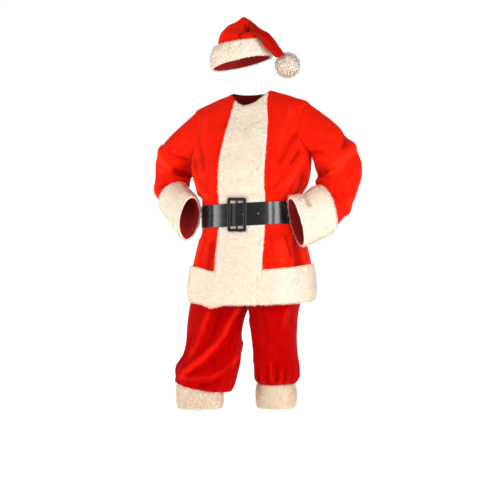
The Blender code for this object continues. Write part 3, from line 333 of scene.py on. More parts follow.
LEG_CREASES_LEFT = table(
    Crease,
    (0.005, 0.014, ((136, 5.2), (128, 6.2))),
    (-0.005, 0.013, ((150, 5.9), (170, 6.3))),
    (0.005, 0.009, ((92, 8.4), (96, 10.4))),
    (0.005, 0.008, ((118, 8.9), (114, 10.4))),
    (0.004, 0.008, ((64, 9.3), (70, 10.4))),
    (0.006, 0.015, ((30, 6.0), (36, 8.6))),
    (0.006, 0.016, ((300, 5.3), (285, 7.4), (262, 9.2))),
    (0.006, 0.015, ((226, 6.4), (234, 9.4))),
    (-0.005, 0.014, ((262, 5.6), (250, 7.6))),
    (-0.0034, 0.009, ((78, 5.0), (84, 6.4), (80, 7.8))),
    (0.003, 0.01, ((104, 5.4), (100, 6.8), (106, 8.2))),
    (-0.0036, 0.007, ((80, 8.8), (82, 10.4))),
    (-0.0036, 0.007, ((106, 8.6), (104, 10.4))),
    (-0.0036, 0.007, ((130, 9.0), (126, 10.4))),
    (-0.0034, 0.007, ((48, 8.9), (52, 10.4))),
    (-0.0036, 0.009, ((20, 6.6), (24, 8.2))),
    (-0.0036, 0.009, ((316, 7.0), (304, 8.6))),
    (-0.0036, 0.009, ((206, 6.2), (214, 8.0))),
)
LEG_GATHERS = 16
LEG_GATHER_DEPTH = 0.0035
FINE_GATHERS = 37
FINE_GATHER_DEPTH = 0.0016
LEG_ROUND = 112
LEG_CUFF_HEIGHT = 0.098
CUFF_INSET = 0.006
CUFF_BULGE = 0.006
CUFF_GAP = {"left": 0.0006, "right": 0.0022}
LEG_CUFF_ROUND = 96
WAIST_ROWS = 18
WAIST_ROUND = 240
WAIST_PLEATS = 60
WAIST_PLEAT_DEPTH = 0.0006
WAIST_CLEAR = 0.002  # between the waistband and the jacket's cloth

HAT = {
    "opening": Oval((-0.144, -0.059, 0.101), (0.07, 0.02, 0.151), 0.112),
    "band middle": Oval((-0.147, -0.056, 0.146), (0.069, 0.022, 0.194), 0.113),
    "band top": Oval((-0.133, -0.048, 0.19), (0.059, 0.022, 0.22), 0.108),
    "crown": Oval((-0.121, -0.044, 0.24), (0.046, 0.015, 0.238), 0.092),
    "high crown": Oval((-0.086, -0.035, 0.277), (0.029, 0.008, 0.248), 0.062),
    "below fold": Oval((-0.055, -0.033, 0.29), (0.027, 0.000, 0.249), 0.04),
    "fold": Oval((-0.027, -0.03, 0.311), (0.023, -0.008, 0.25), 0.021),
    "past fold": Oval((0.006, -0.052, 0.28), (0.034, -0.046, 0.238), 0.018),
    "over": Oval((0.032, -0.077, 0.266), (0.044, -0.081, 0.226), 0.021),
    "tail top": Oval((0.105, -0.1, 0.223), (0.074, -0.114, 0.191), 0.02),
    "tail": Oval((0.132, -0.074, 0.182), (0.094, -0.085, 0.162), 0.02),
    "tail end": Oval((0.142, -0.047, 0.16), (0.114, -0.055, 0.141), 0.017),
    "tip": Oval((0.136, -0.045, 0.146), (0.128, -0.047, 0.14), 0.004),
}
HAT_CREASES = table(
    Crease,
    (-0.008, 0.018, ((322, 6.15), (300, 6.15), (270, 6.3))),
    (-0.005, 0.009, ((150, 3.0), (160, 4.3), (165, 5.8))),
    (0.004, 0.01, ((110, 2.6), (120, 3.8), (140, 5.6))),
    (-0.004, 0.008, ((80, 2.4), (88, 3.6), (110, 5.4))),
    (-0.004, 0.009, ((210, 2.8), (200, 4.0), (190, 5.6))),
    (0.0034, 0.009, ((250, 2.6), (240, 3.8), (215, 5.6))),
    (-0.0034, 0.009, ((300, 2.4), (290, 3.6), (260, 5.4))),
    (0.003, 0.01, ((30, 2.4), (36, 3.6), (60, 5.4))),
    (-0.0036, 0.006, ((60, 7.2), (70, 8.6), (80, 9.8))),
    (0.003, 0.006, ((110, 7.4), (104, 9.0), (100, 10.6))),
    (-0.0034, 0.006, ((280, 7.2), (270, 9.0), (262, 10.4))),
)
HAT_ROUND = 84
HAT_ROW = 0.0048
HAT_BAND_TOP = 2.0
TAIL_SHADE_FROM = 6.5  # section from which the hat's tail is painted darker, as painted shade
POMPOM_RADIUS = 0.051
POMPOM_CORE = 0.043
POMPOM_STRANDS = 11000
POMPOM_LUMP = 0.003
POMPOM_ROOTS = 0.002  # how deep the strands start in the core

# Belt and buckle
BELT_THICKNESS = 0.0025
STRAP_GAP = 0.0009
STRAP_PRESSED = 0.004  # depth of the trim's solid under the strap
STRAP_ROW = 0.0035
STRAP_LOW, STRAP_HIGH = 0.03, 0.97  # shares of the belted sections' height
STRAP_HEIGHT = 0.088
STRAP_PROFILE = (0, 0.008, 0.02, 0.04, 0.12, 0.25, 0.4, 0.5, 0.6, 0.75, 0.88, 0.96, 0.98, 0.992, 1)
STRAP_EDGE_ROUND = 0.0018
STRAP_EDGE_DEPTH = 0.0008
STRAP_WAVE = 0.0003
BELT_HOLE = 0.0032
BELT_HOLE_PITCH = 0.062
BELT_HOLES = (-2, -1, 0, 1, 2, 3)
PRONG_HOLE = 1.45
PRONG_HOLE_AT = 0.021
FIXED_END = 0.01
FREE_END = 0.118
BUCKLE_WIDTH = 0.078
BUCKLE_HEIGHT = 0.134
BUCKLE_BAR = 0.0125
BUCKLE_DEPTH = 0.005
BUCKLE_CORNER = 0.0085
INNER_CORNER = 0.003
BUCKLE_LOW = 0.0056
BUCKLE_ROUND = 0.0026
BUCKLE_ROUND_INSET = 0.0024
BUCKLE_SHIFT = 0.012
CENTRE_BAR = 0.007
CENTRE_BAR_DEPTH = 0.0035
PRONG_RADIUS = 0.0019
PRONG_ROUTE = ((0.0125, 0.0021), (0.017, 0.0021), (0.02, 0.0042), (0.0225, 0.0082))
PRONG_REST = 0.027
PRONG_PAST = 0.001

# Colours, linear
RED = (0.82, 0.013, 0.003)
RED_SHADE = (0.62, 0.006, 0.002)
# The next two are painted light on the jacket's folds: a painted highlight for ridges and painted shade for
# troughs.
RED_PAINTED_HIGHLIGHT = (0.90, 0.024, 0.006)
RED_PAINTED_SHADE = (0.30, 0.002, 0.0012)
DARK_RED = (0.44, 0.0010, 0.0007)
DARK_RED_SHADE = (0.32, 0.0005, 0.0005)
# The next two are painted light on the trousers' folds: a painted highlight for ridges and painted shade for
# troughs.
DARK_RED_PAINTED_HIGHLIGHT = (0.78, 0.010, 0.003)
DARK_RED_PAINTED_SHADE = (0.14, 0.0002, 0.0003)
LINING = (0.42, 0.020, 0.018)
CREAM = (0.915, 0.815, 0.695)
CREAM_ROOT = (0.87, 0.75, 0.62)
# The next two are painted shade: the cream plush drawn darker and warmer for the trouser cuffs.
SHADED_CUFF_CREAM = (0.85, 0.72, 0.57)
SHADED_CUFF_ROOT = (0.68, 0.53, 0.38)
BLACK = (0.004, 0.004, 0.0045)
BRONZE_BLACK = (0.012, 0.008, 0.004)

# Camera and floor
CAMERA_TURN = math.radians(16)
CAMERA_AWAY = 5.5
CAMERA_HEIGHT = -0.494
AIM_HEIGHT = -0.628
FOCAL_MM = 97.8
SENSOR_MM = 36.0
SHIFT_X = -0.004
SOLE_LEVEL = -1.58
FLOOR_SIZE = 60.0
FLOOR_FADE = (-2.6, -1.2)  # Y between which the floor's own light changes
FLOOR_GLOW = (0.30, 0.88)  # light from the floor before the suit, and under and behind it
SKY_FADE = (0.35, 0.66)  # how far behind the suit a direction is where the surroundings change
SKY = (0.22, 1.03)  # brightness of the surroundings before and above, and behind
Light = namedtuple("Light", "name place aim size watts")
LIGHTS = table(
    Light,
    ("key", (2.3, -2.2, -0.1), (0, 0, -0.5), (1.5, 2.2), 78),
    ("fill", (-2.8, -1.5, -0.1), (0, 0, -0.5), (1.4, 2.2), 50),
    ("front", (-0.9, -3.3, 1.9), (0, 0, -0.4), (1.2, 0.8), 34),
)


def through(knots, at):
    """A smooth curve through evenly numbered knots, read at the given numbers, with no overshoot."""
    knots = np.asarray(knots, float)
    at = np.asarray(at, float)
    step = np.diff(knots, axis=0)
    slope = np.zeros_like(knots)
    before, after = step[:-1], step[1:]
    same_way = before * after > 0
    total = np.where(same_way, before + after, 1.0)
    slope[1:-1] = np.where(same_way, 2 * before * after / total, 0.0)
    slope[0], slope[-1] = step[0], step[-1]
    low = np.clip(np.floor(at).astype(int), 0, len(knots) - 2)
    part = (at - low).reshape(at.shape + (1,) * (knots.ndim - 1))
    start, end = knots[low], knots[low + 1]
    leave, arrive = slope[low], slope[low + 1]
    square, cube = part**2, part**3
    return (
        start * (2 * cube - 3 * square + 1)
        + leave * (cube - 2 * square + part)
        + end * (3 * square - 2 * cube)
        + arrive * (cube - square)
    )


def power(value, exponent):
    return np.sign(value) * np.abs(value) ** exponent


def soft_fold(across, width):
    return np.exp(-((across / width) ** 2))


def eased(share):
    share = np.clip(share, 0, 1)
    return share * share * (3 - 2 * share)


def window(value, low, high, fade):
    """1 between low and high, easing to 0 over fade on both sides."""
    return eased((value - low) / fade) * eased((high - value) / fade)


def unit(vectors):
    return vectors / np.maximum(np.linalg.norm(vectors, axis=-1, keepdims=True), 1e-12)


def uneven(points, scale, seed):
    """Smooth noise from -1 to 1 at each point, with features about 1 / scale metres wide."""
    shift = Vector((seed * 3.1, seed * 1.7, seed * 2.3))
    flat = points.reshape(-1, 3)
    found = [noise.noise(Vector(point) * scale + shift) for point in flat]
    return np.array(found).reshape(points.shape[:-1])


def along_path(path, count=12):
    """A path's pairs, filled in between."""
    pairs = np.array(path, float)
    sweep = np.diff(pairs[:, 0])
    pairs[1:, 0] = pairs[0, 0] + np.cumsum((sweep + 180) % 360 - 180)
    at = np.linspace(0, len(pairs) - 1, count * (len(pairs) - 1) + 1)
    return np.stack([np.interp(at, range(len(pairs)), pairs[:, k]) for k in (0, 1)], -1)


def creased(points, place, creases):
    """How far the creases stand out at each point. Place turns a path's pairs into points."""
    total = np.zeros(points.shape[:-1])
    flat = points.reshape(-1, 3)
    for crease in creases:
        line = place(along_path(crease.path))
        nearest = np.full(len(flat), 9.0)
        for start, end in zip(line, line[1:]):
            run = end - start
            share = np.clip((flat - start) @ run / max(run @ run, 1e-12), 0, 1)
            gap = np.linalg.norm(flat - start - share[:, None] * run, axis=1)
            nearest = np.minimum(nearest, gap)
        total += CREASE_LIFT * crease.depth * soft_fold(nearest, crease.width).reshape(total.shape)
    return total


def surface_normals(points, closed, centre):
    """Unit normals of a grid of points, pointing away from the centre."""
    if closed:
        around = np.roll(points, -1, 1) - np.roll(points, 1, 1)
    else:
        around = np.gradient(points, axis=1)
    out = unit(np.cross(around, np.gradient(points, axis=0)))
    if (out * (points - centre)).sum() < 0:
        out = -out
    return out


def arc_from_edge(points, axis, end):
    """Distance over the grid from its first or last row or column."""
    step = np.linalg.norm(np.diff(points, axis=axis), axis=-1)
    start = np.zeros_like(np.take(step, [0], axis))
    run = np.concatenate([start, np.cumsum(step, axis)], axis)
    return np.take(run, [-1], axis) - run if end else run


def dipped(points, out, seams):
    """The cloth pulled in along its seams, each an (axis, end) of the grid."""
    depth = np.zeros(points.shape[:-1])
    for axis, end in seams:
        depth = np.maximum(depth, soft_fold(arc_from_edge(points, axis, end), SEAM_REACH))
    return points - SEAM_DIP * depth[..., None] * out


def linked(name, data):
    """An object with this data, in the scene."""
    made = bpy.data.objects.new(name, data)
    bpy.context.scene.collection.objects.link(made)
    return made


def built(build, name, *finishes):
    """A mesh from the shape that was built, which is then let go."""
    mesh = bpy.data.meshes.new(name)
    build.to_mesh(mesh)
    build.free()
    for finish in finishes:
        mesh.materials.append(finish)
    return mesh


def write_points(made, name, values, kind="FLOAT", field="value"):
    """Gives each point of a mesh its own value under a name."""
    attribute = made.data.attributes.new(name, kind, "POINT")
    attribute.data.foreach_set(field, values.astype(np.float32).ravel())


def mesh_of(name, points, faces, finishes, shaded_smooth=True):
    """A mesh object from points and an array of faces that all have the same number of corners."""
    mesh = bpy.data.meshes.new(name)
    count, corners = faces.shape
    mesh.vertices.add(len(points))
    mesh.vertices.foreach_set("co", points.astype(np.float32).ravel())
    mesh.loops.add(count * corners)
    mesh.loops.foreach_set("vertex_index", faces.astype(np.int32).ravel())
    mesh.polygons.add(count)
    mesh.polygons.foreach_set("loop_start", np.arange(0, count * corners, corners, dtype=np.int32))
    mesh.polygons.foreach_set("use_smooth", np.full(count, shaded_smooth))
    mesh.update(calc_edges=True)
    for finish in finishes:
        mesh.materials.append(finish)
    return linked(name, mesh)


def grid_faces(rows, columns, closed):
    """Faces between the neighbours of a grid, whose closed rows join up."""
    number = np.arange(rows * columns).reshape(rows, columns)
    here, after = number, np.roll(number, -1, 1)
    if not closed:
        here, after = here[:, :-1], after[:, :-1]
    return np.stack([here[:-1], after[:-1], after[1:], here[1:]], -1).reshape(-1, 4)


def rim_faces(rows, columns, closed):
    """Faces that join the outer grid's border to the inner grid's."""
    count = rows * columns
    grid = np.arange(count).reshape(rows, columns)
    if closed:
        borders = [np.append(grid[0], grid[0, 0]), np.append(grid[-1], grid[-1, 0])[::-1]]
    else:
        borders = [np.concatenate([grid[0], grid[1:, -1], grid[-1, -2::-1], grid[-2::-1, 0]])]
    rims = [np.stack([b[:-1], b[:-1] + count, b[1:] + count, b[1:]], -1) for b in borders]
    return np.concatenate(rims)


def fold_shading_tone(stand, full=FOLD_SHADING_DEPTH):
    """Painted light from the folds: 1 for the full painted highlight on ridges, 0 for the full painted shade
    in troughs.
    """
    return 0.5 + 0.5 * np.clip(stand / full, -1, 1)


def shell(name, outer, inner, finish, lining, closed=False, nap_and_fold_shading=None):
    """A thin closed body between two grids. The inside and the rims have the lining's finish."""
    rows, columns = outer.shape[:2]
    count = rows * columns
    front = grid_faces(rows, columns, closed)
    faces = np.concatenate([front, front[:, ::-1] + count, rim_faces(rows, columns, closed)])
    points = np.concatenate([outer.reshape(-1, 3), inner.reshape(-1, 3)])
    corner = points[faces]
    side_a, side_b = corner[:, 2] - corner[:, 0], corner[:, 3] - corner[:, 1]
    if (np.cross(side_a, side_b) * corner.mean(1)).sum() < 0:
        faces = faces[:, ::-1]
    made = mesh_of(name, points, faces, (finish, lining))
    inside = np.zeros(len(faces), np.int32)
    inside[len(front) :] = 1
    made.data.polygons.foreach_set("material_index", inside)
    made.data.set_sharp_from_angle(angle=math.radians(60))
    # Painted light: each point's fold value, which the velour turns into a painted highlight on ridges and
    # painted shade in troughs.
    if nap_and_fold_shading is not None:
        write_points(made, "nap_and_fold_shading", np.tile(nap_and_fold_shading.ravel(), 2))
    return made


def stands_for(piece, slot, *nodes):
    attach(piece, "root")
    if nodes:
        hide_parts(*nodes)
    return piece


def pile(name, points, out, length, nap_and_fold_shading, seed, closed, finish, per_m2=PILE_PER_M2):
    """Loose tips of plush: bent tapered blades that gather into small clumps."""
    draw = np.random.default_rng(seed)
    if closed:
        points, out = (np.concatenate([g, g[:, :1]], 1) for g in (points, out))
        length = np.concatenate([length, length[:, :1]], 1)
    side_a = points[1:, :-1] - points[:-1, :-1]
    side_b = points[:-1, 1:] - points[:-1, :-1]
    area = np.linalg.norm(np.cross(side_a, side_b), axis=-1)
    area *= length[:-1, :-1] > 0
    count = int(area.sum() * per_m2)
    clumps = max(int(area.sum() / CLUMP_SPACING**2), 1)

    def scatter(number):
        cell = draw.choice(area.size, number, p=(area / area.sum()).ravel())
        row, column = np.unravel_index(cell, area.shape)
        across, down = draw.random((2, number, 1))
        found = []
        for grid in (points, out, length[..., None]):
            top = grid[row, column] * (1 - across) + grid[row, column + 1] * across
            low = grid[row + 1, column] * (1 - across) + grid[row + 1, column + 1] * across
            found.append(top * (1 - down) + low * down)
        return found

    heart, heart_out, heart_length = scatter(clumps)
    tree = kdtree.KDTree(clumps)
    for number, place in enumerate(heart):
        tree.insert(place, number)
    tree.balance()
    root, normal, reach = scatter(count)
    normal = unit(normal)
    own = np.array([tree.find(place)[1] for place in root])
    lean = unit(draw.normal(size=(clumps, 3))) * CLUMP_LEAN
    heart_tip = heart + (unit(heart_out) + np.array(nap_and_fold_shading) + lean) * heart_length
    wander = draw.normal(size=(count, 3)) * STRAND_WANDER
    reach = reach * draw.uniform(*STRAND_LENGTHS, (count, 1))
    tip = root + (normal + np.array(nap_and_fold_shading) + wander) * reach
    tip = tip + (heart_tip[own] - tip) * draw.uniform(*STRAND_GATHER, (count, 1))
    middle = root + (tip - root) * 0.5 + normal * reach * STRAND_BEND
    width = PILE_WIDTH * draw.uniform(*STRAND_WIDTHS, (count, 1))
    sideways = unit(np.cross(tip - root, unit(draw.normal(size=(count, 3))))) * width / 2
    root = root - normal * STRAND_SUNK
    half = sideways * STRAND_TAPER
    corners = np.stack([root - sideways, root + sideways, middle - half, middle + half, tip], 1)
    base = np.arange(count)[:, None, None] * 5
    faces = (base + np.array([[0, 1, 3], [0, 3, 2], [2, 3, 4]])).reshape(-1, 3)
    made = mesh_of(name, corners.reshape(-1, 3), faces, (finish,))
    write_points(made, "along", np.tile([0.0, 0.0, 0.5, 0.5, 1.0], count))
    write_points(made, "tone", np.repeat(draw.random(count), 5))
    soft = unit(np.repeat(normal + STRAND_FACING * unit(tip - root), 5, 0))
    write_points(made, "facing", soft, "FLOAT_VECTOR", "vector")
    return stands_for(made, "plush")


def trim(name, base, out, closed, edges, seed, centre, pressed=None, nap_and_fold_shading=(0, 0, -0.35), shaded_cuff=False):
    """A strip of plush on a panel's grid: a dense lumpy lower part and its loose tips.

    Each edge is an axis and end of the grid, with how wide it rolls down there, 0 where it is sewn on,
    and how far along its roll it starts.
    """
    edge = np.full(base.shape[:2], 1.0)
    for axis, end, roll, start in edges:
        rolled = (arc_from_edge(base, axis, end) + start) / np.maximum(roll, 1e-6)
        edge = np.where(np.asarray(roll) > 0, np.minimum(edge, rolled), edge)
    rounded = np.sqrt(1 - (1 - np.clip(edge, 0, 1)) ** 2)
    depth = PILE_EDGE + (PILE_BASE - PILE_EDGE) * rounded
    small, large = uneven(base, 110, seed), uneven(base, 42, seed + 1)
    depth += PILE_SMALL_LUMP * rounded * small + PILE_LUMP * rounded * large
    length = PILE_LENGTH * (0.86 + 0.14 * rounded)
    if pressed is not None:
        depth = depth + (PILE_PRESSED - depth) * pressed
        length = length * (1 - pressed)
        length[length < PILE_SHORTEST] = 0
    outer = base + (LAY + depth[..., None]) * out
    # Painted shade: the trouser cuffs' plush is the cream plush drawn darker and warmer.
    below, above = (SHADED_CUFF_PLUSH, SHADED_CUFF_PLUSH_TIPS) if shaded_cuff else (PLUSH, PLUSH_TIPS)
    made = shell(name, outer, base + LAY * out, below, below, closed)
    away = surface_normals(outer, closed, centre)
    return made, pile(name + "_pile", outer, away, length, nap_and_fold_shading, seed, closed, above)


def station(name):
    return float(list(TORSO).index(name))


def torso_station(level):
    return Station(*np.moveaxis(through(list(TORSO.values()), level), -1, 0))


def torso_plain(angle, level):
    """The jacket's body without its folds. Angle 0 is centre front and +90 degrees the left side."""
    here = torso_station(level)
    sine, cosine = np.sin(angle), np.cos(angle)
    x = here.half_width * power(sine, 2 / here.square)
    y = -np.where(cosine > 0, here.front, here.back) * power(cosine, 2 / here.square)
    z_end = np.where(cosine > 0, here.z_front, here.z_back)
    z = z_end * cosine**2 + here.z_side * sine**2 + x * np.tan(np.radians(here.tilt))
    return np.stack([x, y, z], -1)


def plain_normals(angle, level, step=1e-3):
    along_angle = torso_plain(angle + step, level) - torso_plain(angle - step, level)
    along_level = torso_plain(angle, level + step) - torso_plain(angle, level - step)
    return unit(np.cross(along_angle, along_level))


def torso_place(pairs):
    return torso_plain(np.radians(pairs[:, 0]), pairs[:, 1])


def torso_stand(angle, level, fine=True):
    """How far the jacket's folds stand out from its plain form."""
    plain = torso_plain(angle, level)
    stand = np.zeros(plain.shape[:-1])
    for fold in TORSO_FOLDS:
        across = (np.degrees(angle) - fold.angle + 180) % 360 - 180
        along = window(level, fold.low - FOLD_FADE, fold.high, FOLD_FADE)
        stand += fold.depth * soft_fold(across, fold.width) * along
    if fine:
        loose = 1 - window(level, station("below belt") - 0.6, station("above belt") + 0.6, 0.6)
        stand += creased(plain, torso_place, TORSO_CREASES) * loose
        stand += TORSO_SLACK * uneven(plain * (1, 1, 0.45), 22, 1) * loose
    return stand


def torso(angle, level, fine=True):
    stand = torso_stand(angle, level, fine)
    return torso_plain(angle, level) + plain_normals(angle, level) * stand[..., None]


def band_edge(level, side):
    marks = [station(row.section) for row in BAND]
    width = np.interp(level, marks, [row.left if side > 0 else row.right for row in BAND])
    here = torso_station(level)
    return np.arcsin(np.clip((width / here.half_width) ** (here.square / 2), 0, 0.999))


def armhole(turn, shrink=1.0):
    """Angle from the side and section of the armhole's front edge. Turn 0 is the armpit, pi the top."""
    low, high = station("armpit"), station("shoulder")
    middle, half = (low + high) / 2, (high - low) / 2
    return shrink * ARMHOLE_HALF_ANGLE * np.sin(turn), middle - shrink * half * np.cos(turn)


def side_edge(level):
    """How far from the side the panels end: half a seam, or the armhole's edge."""
    low, high = station("armpit"), station("shoulder")
    share = np.clip((level - (low + high) / 2) / ((high - low) / 2), -1, 1)
    return np.maximum(SEAM / 2 / SIDE_RADIUS, ARMHOLE_HALF_ANGLE * np.sqrt(1 - share**2))


def section_rows(first, last):
    """Section numbers between two stations, about a mesh row apart."""
    rows = []
    for number in range(first, last):
        ends = torso_plain(np.zeros(2) + 0.9, np.array([number, number + 1.0]))
        count = max(int(np.linalg.norm(ends[1] - ends[0]) / ROW), 3)
        rows.append(number + np.arange(count) / count)
    return np.concatenate(rows)


ARMPIT, SHOULDER, NECK = 9, 11, 13
LEVELS = np.concatenate(
    [
        section_rows(0, ARMPIT),
        armhole(np.linspace(0, math.pi, ARMHOLE_ROWS))[1],
        section_rows(SHOULDER, NECK)[1:],
        [NECK],
    ]
)
HEM_LEVELS = LEVELS[LEVELS <= 1.0001]


def with_drop(points, angles, levels):
    """The hem hangs lower beside the front trim on the wearer's right, and its edge curls in."""
    lower = points.copy()
    fade = np.clip(1 - levels / 2, 0, 1)[:, None]
    turned = (np.degrees(angles) + 180) % 360 - 180
    lower[..., 2] -= HEM_DROP * fade * soft_fold(turned - HEM_DROP_ANGLE, HEM_DROP_WIDTH)
    tuck = HEM_TUCK * np.clip(1 - levels / HEM_TUCK_REACH, 0, 1) ** 2
    return lower - tuck[:, None, None] * unit(lower * (1, 1, 0))


def torso_grid(angles, levels):
    """Points and outward normals of the jacket over a grid of column angles at each section."""
    points = with_drop(torso(angles, np.broadcast_to(levels[:, None], angles.shape)), angles, levels)
    return points, surface_normals(points, False, points * (0, 0, 1))


def spread(start, end, count):
    """Column angles from start to end for each row."""
    share = np.linspace(0, 1, count)
    return start[:, None] * (1 - share) + end[:, None] * share


def jacket_body():
    """The two fronts, from centre front to the side seam, and the back."""
    half_seam = np.full(LEVELS.shape, SEAM / 2 / SIDE_RADIUS)
    side = side_edge(LEVELS)
    panels = {}
    for name, sign in (("left", 1), ("right", -1)):
        edge = band_edge(LEVELS, sign)
        under = spread(half_seam, edge, 8)[:, :-1]
        shown = spread(edge, math.pi / 2 - side, 40)
        panels["jacket_front_" + name] = (sign * np.concatenate([under, shown], 1), ((1, True),))
    back = spread(math.pi / 2 + side, 1.5 * math.pi - side, 92)
    panels["jacket_back"] = (back, ((1, True), (1, False)))
    for name, (angles, seams) in panels.items():
        points, out = torso_grid(angles, LEVELS)
        points = dipped(points, out, seams)
        # Painted highlight on the folds' ridges and painted shade in their troughs.
        nap_and_fold_shading = fold_shading_tone(torso_stand(angles, np.broadcast_to(LEVELS[:, None], angles.shape)))
        made = shell(name + "_cloth", points, points - CLOTH * out, VELOUR, VELOUR_BACK, False, nap_and_fold_shading)
        stands_for(made, "velour", name)


def jacket_trim():
    """The front trim's two strips and the hem trim."""
    right, left = band_edge(LEVELS, -1), band_edge(LEVELS, 1)
    close = left * BAND_CLOSE
    under_strap = window(LEVELS, station("belt low") - 0.12, station("belt high") + 0.12, 0.2)
    under_frame = window(LEVELS, station("below belt") - 0.1, station("above belt") + 0.1, 0.2)
    outside = PILE_ROLL * eased((LEVELS[:, None] - 0.8) / 0.3)
    meeting = np.where(LEVELS[:, None] < station("belt low"), PILE_ROLL, 0.0)
    free, meets = (outside, 0.0), (meeting, PILE_MEETS)
    upper, under = spread(-right, close, 40), spread(close + SEAM / FRONT_RADIUS, left, 9)
    strips = {
        "front_plush_upper": ("right", upper, 21, free, meets),
        "front_plush_under": ("left", under, 22, meets, free),
    }
    for name, (hand, angles, seed, right_edge, left_edge) in strips.items():
        points, out = torso_grid(angles, LEVELS)
        beside = np.abs(points[..., 0] + BUCKLE_SHIFT) - BUCKLE_WIDTH / 2
        pressed = np.maximum(under_strap[:, None], under_frame[:, None] * eased(1 - beside / 0.005))
        edges = (*ROUND_EDGES, (1, False, *right_edge), (1, True, *left_edge))
        made, tips = trim(name + "_plush", points, out, False, edges, seed, points * (0, 0, 1), pressed)
        stands_for(made, "plush", name)
    end = 2 * math.pi - right[: len(HEM_LEVELS)]
    seam = SEAM / FRONT_RADIUS
    angles = spread(left[: len(HEM_LEVELS)] + seam, end - seam, 176)
    points, out = torso_grid(angles, HEM_LEVELS)
    made, tips = trim("hem_plush_plush", points, out, False, ROUND_EDGES, 23, points * (0, 0, 1))
    stands_for(made, "plush", "hem_plush")


def ring(outer, inner, half_depth, along, turns):
    """An oval section: turn 0 is its outer point and a quarter turn its front."""
    outer, inner = np.array(outer), np.array(inner)
    centre, reach = (outer + inner) / 2, (outer - inner) / 2
    side = np.cross(along, reach)
    side = half_depth * side / np.linalg.norm(side)
    return centre + np.cos(turns)[:, None] * reach + np.sin(turns)[:, None] * side


def rings_of(sections, turns, front, first=None):
    """Stacked sections as an array of rings. Front tells which way a quarter turn points."""
    centres = [(np.array(s[0]) + np.array(s[1])) / 2 for s in sections]
    if first is not None:
        centres = [first.mean(0), *centres]
    made = [] if first is None else [first]
    for number, (outer, inner, half_depth) in enumerate(sections, len(made)):
        before, after = max(number - 1, 0), min(number + 1, len(centres) - 1)
        along = centres[after] - centres[before]
        turned = ring(outer, inner, half_depth, along, turns)
        quarter = ring(outer, inner, half_depth, along, np.array([math.pi / 2]))[0]
        if np.dot(quarter - centres[number], front) < 0:
            turned = ring(outer, inner, half_depth, along, -turns)
        made.append(turned)
    return np.array(made)


def round_turns(count):
    return np.linspace(0, 2 * math.pi, count + 1)[:-1]


def grid_place(points, steps, turn_count):
    """Turns (turn in degrees, step) pairs into points of a closed grid."""

    def place(pairs):
        column = np.round(pairs[:, 0] / 360 * turn_count).astype(int) % turn_count
        row = np.abs(steps[:, None] - pairs[:, 1]).argmin(0)
        return points[row, column]

    return place


def even_steps(rings, row=ROW):
    """Steps through the rings about a mesh row apart along the longest side."""
    rows = []
    for number in range(len(rings) - 1):
        longest = np.linalg.norm(rings[number + 1] - rings[number], axis=-1).mean()
        count = max(int(longest / row), 2)
        rows.append(number + np.arange(count) / count)
    return np.concatenate([*rows, [len(rings) - 1.0]])


def sleeve(name, sections, side, creases, seed):
    turns = round_turns(SLEEVE_ROUND)
    front_turn = math.pi - turns[: SLEEVE_ROUND // 2 + 1]
    cut, level = armhole(front_turn, SLEEVE_HEAD)
    angle = np.concatenate([math.pi / 2 - cut, math.pi / 2 + cut[-2:0:-1]])
    level = np.concatenate([level, level[-2:0:-1]])
    first = torso(side * angle, level)
    rings = rings_of(list(sections.values()), turns, np.array([0, -1.0, 0]), first)
    steps = even_steps(rings)
    points = through(rings, steps)
    centre = points.mean(1, keepdims=True)
    out = surface_normals(points, True, centre)
    stand = creased(points, grid_place(points, steps, SLEEVE_ROUND), creases)
    stand += SLEEVE_SLACK * uneven(points, 24, seed) * eased(steps / 0.5)[:, None]
    points = points + out * stand[..., None]
    out = surface_normals(points, True, centre)
    points = dipped(points, out, ((0, False),))
    inner = points - CLOTH * out
    # Painted highlight on the creases' ridges and painted shade in their troughs.
    made = shell(f"jacket_sleeve_{name}_cloth", points, inner, VELOUR, VELOUR_BACK, True, fold_shading_tone(stand))
    stands_for(made, "velour", f"jacket_sleeve_{name}")
    start = int(np.searchsorted(steps, CUFF_FROM))
    nap_and_fold_shading = unit(centre[-1, 0] - centre[start, 0]) * 0.3
    base, away, middle = points[start:], out[start:], centre[start:]
    cuff, tips = trim(f"cuff_plush_{name}_plush", base, away, True, ROUND_EDGES, seed + 40, middle, None, nap_and_fold_shading)
    stands_for(cuff, "plush", f"cuff_plush_{name}")


def leg_ring(section, side, turns):
    """A closed leg section. Turn 0 is the inseam and a quarter turn the front."""
    across = -side * section.half_x * np.cos(turns)
    along = -section.half_y * np.sin(turns)
    up = across * side * math.tan(math.radians(section.tilt))
    return np.stack([section.x + across, section.y + along, section.z + up], -1)


def hip_ring(hip, leg, side, turns):
    """Half of the hips, opened from a leg section by its share."""
    sweep = turns / 2
    x = side * hip.half_width * power(np.sin(sweep), 2 / HIP_SQUARE)
    y = -np.where(np.cos(sweep) > 0, hip.front, hip.back) * power(np.cos(sweep), 2 / HIP_SQUARE)
    z = hip.z_side + (hip.z_centre - hip.z_side) * np.abs(np.cos(sweep)) ** 3
    z = z + x * math.tan(math.radians(hip.tilt))
    closed = leg_ring(leg, side, turns)
    closed[:, 2] = z
    return hip.share * np.stack([x, y, z], -1) + (1 - hip.share) * closed


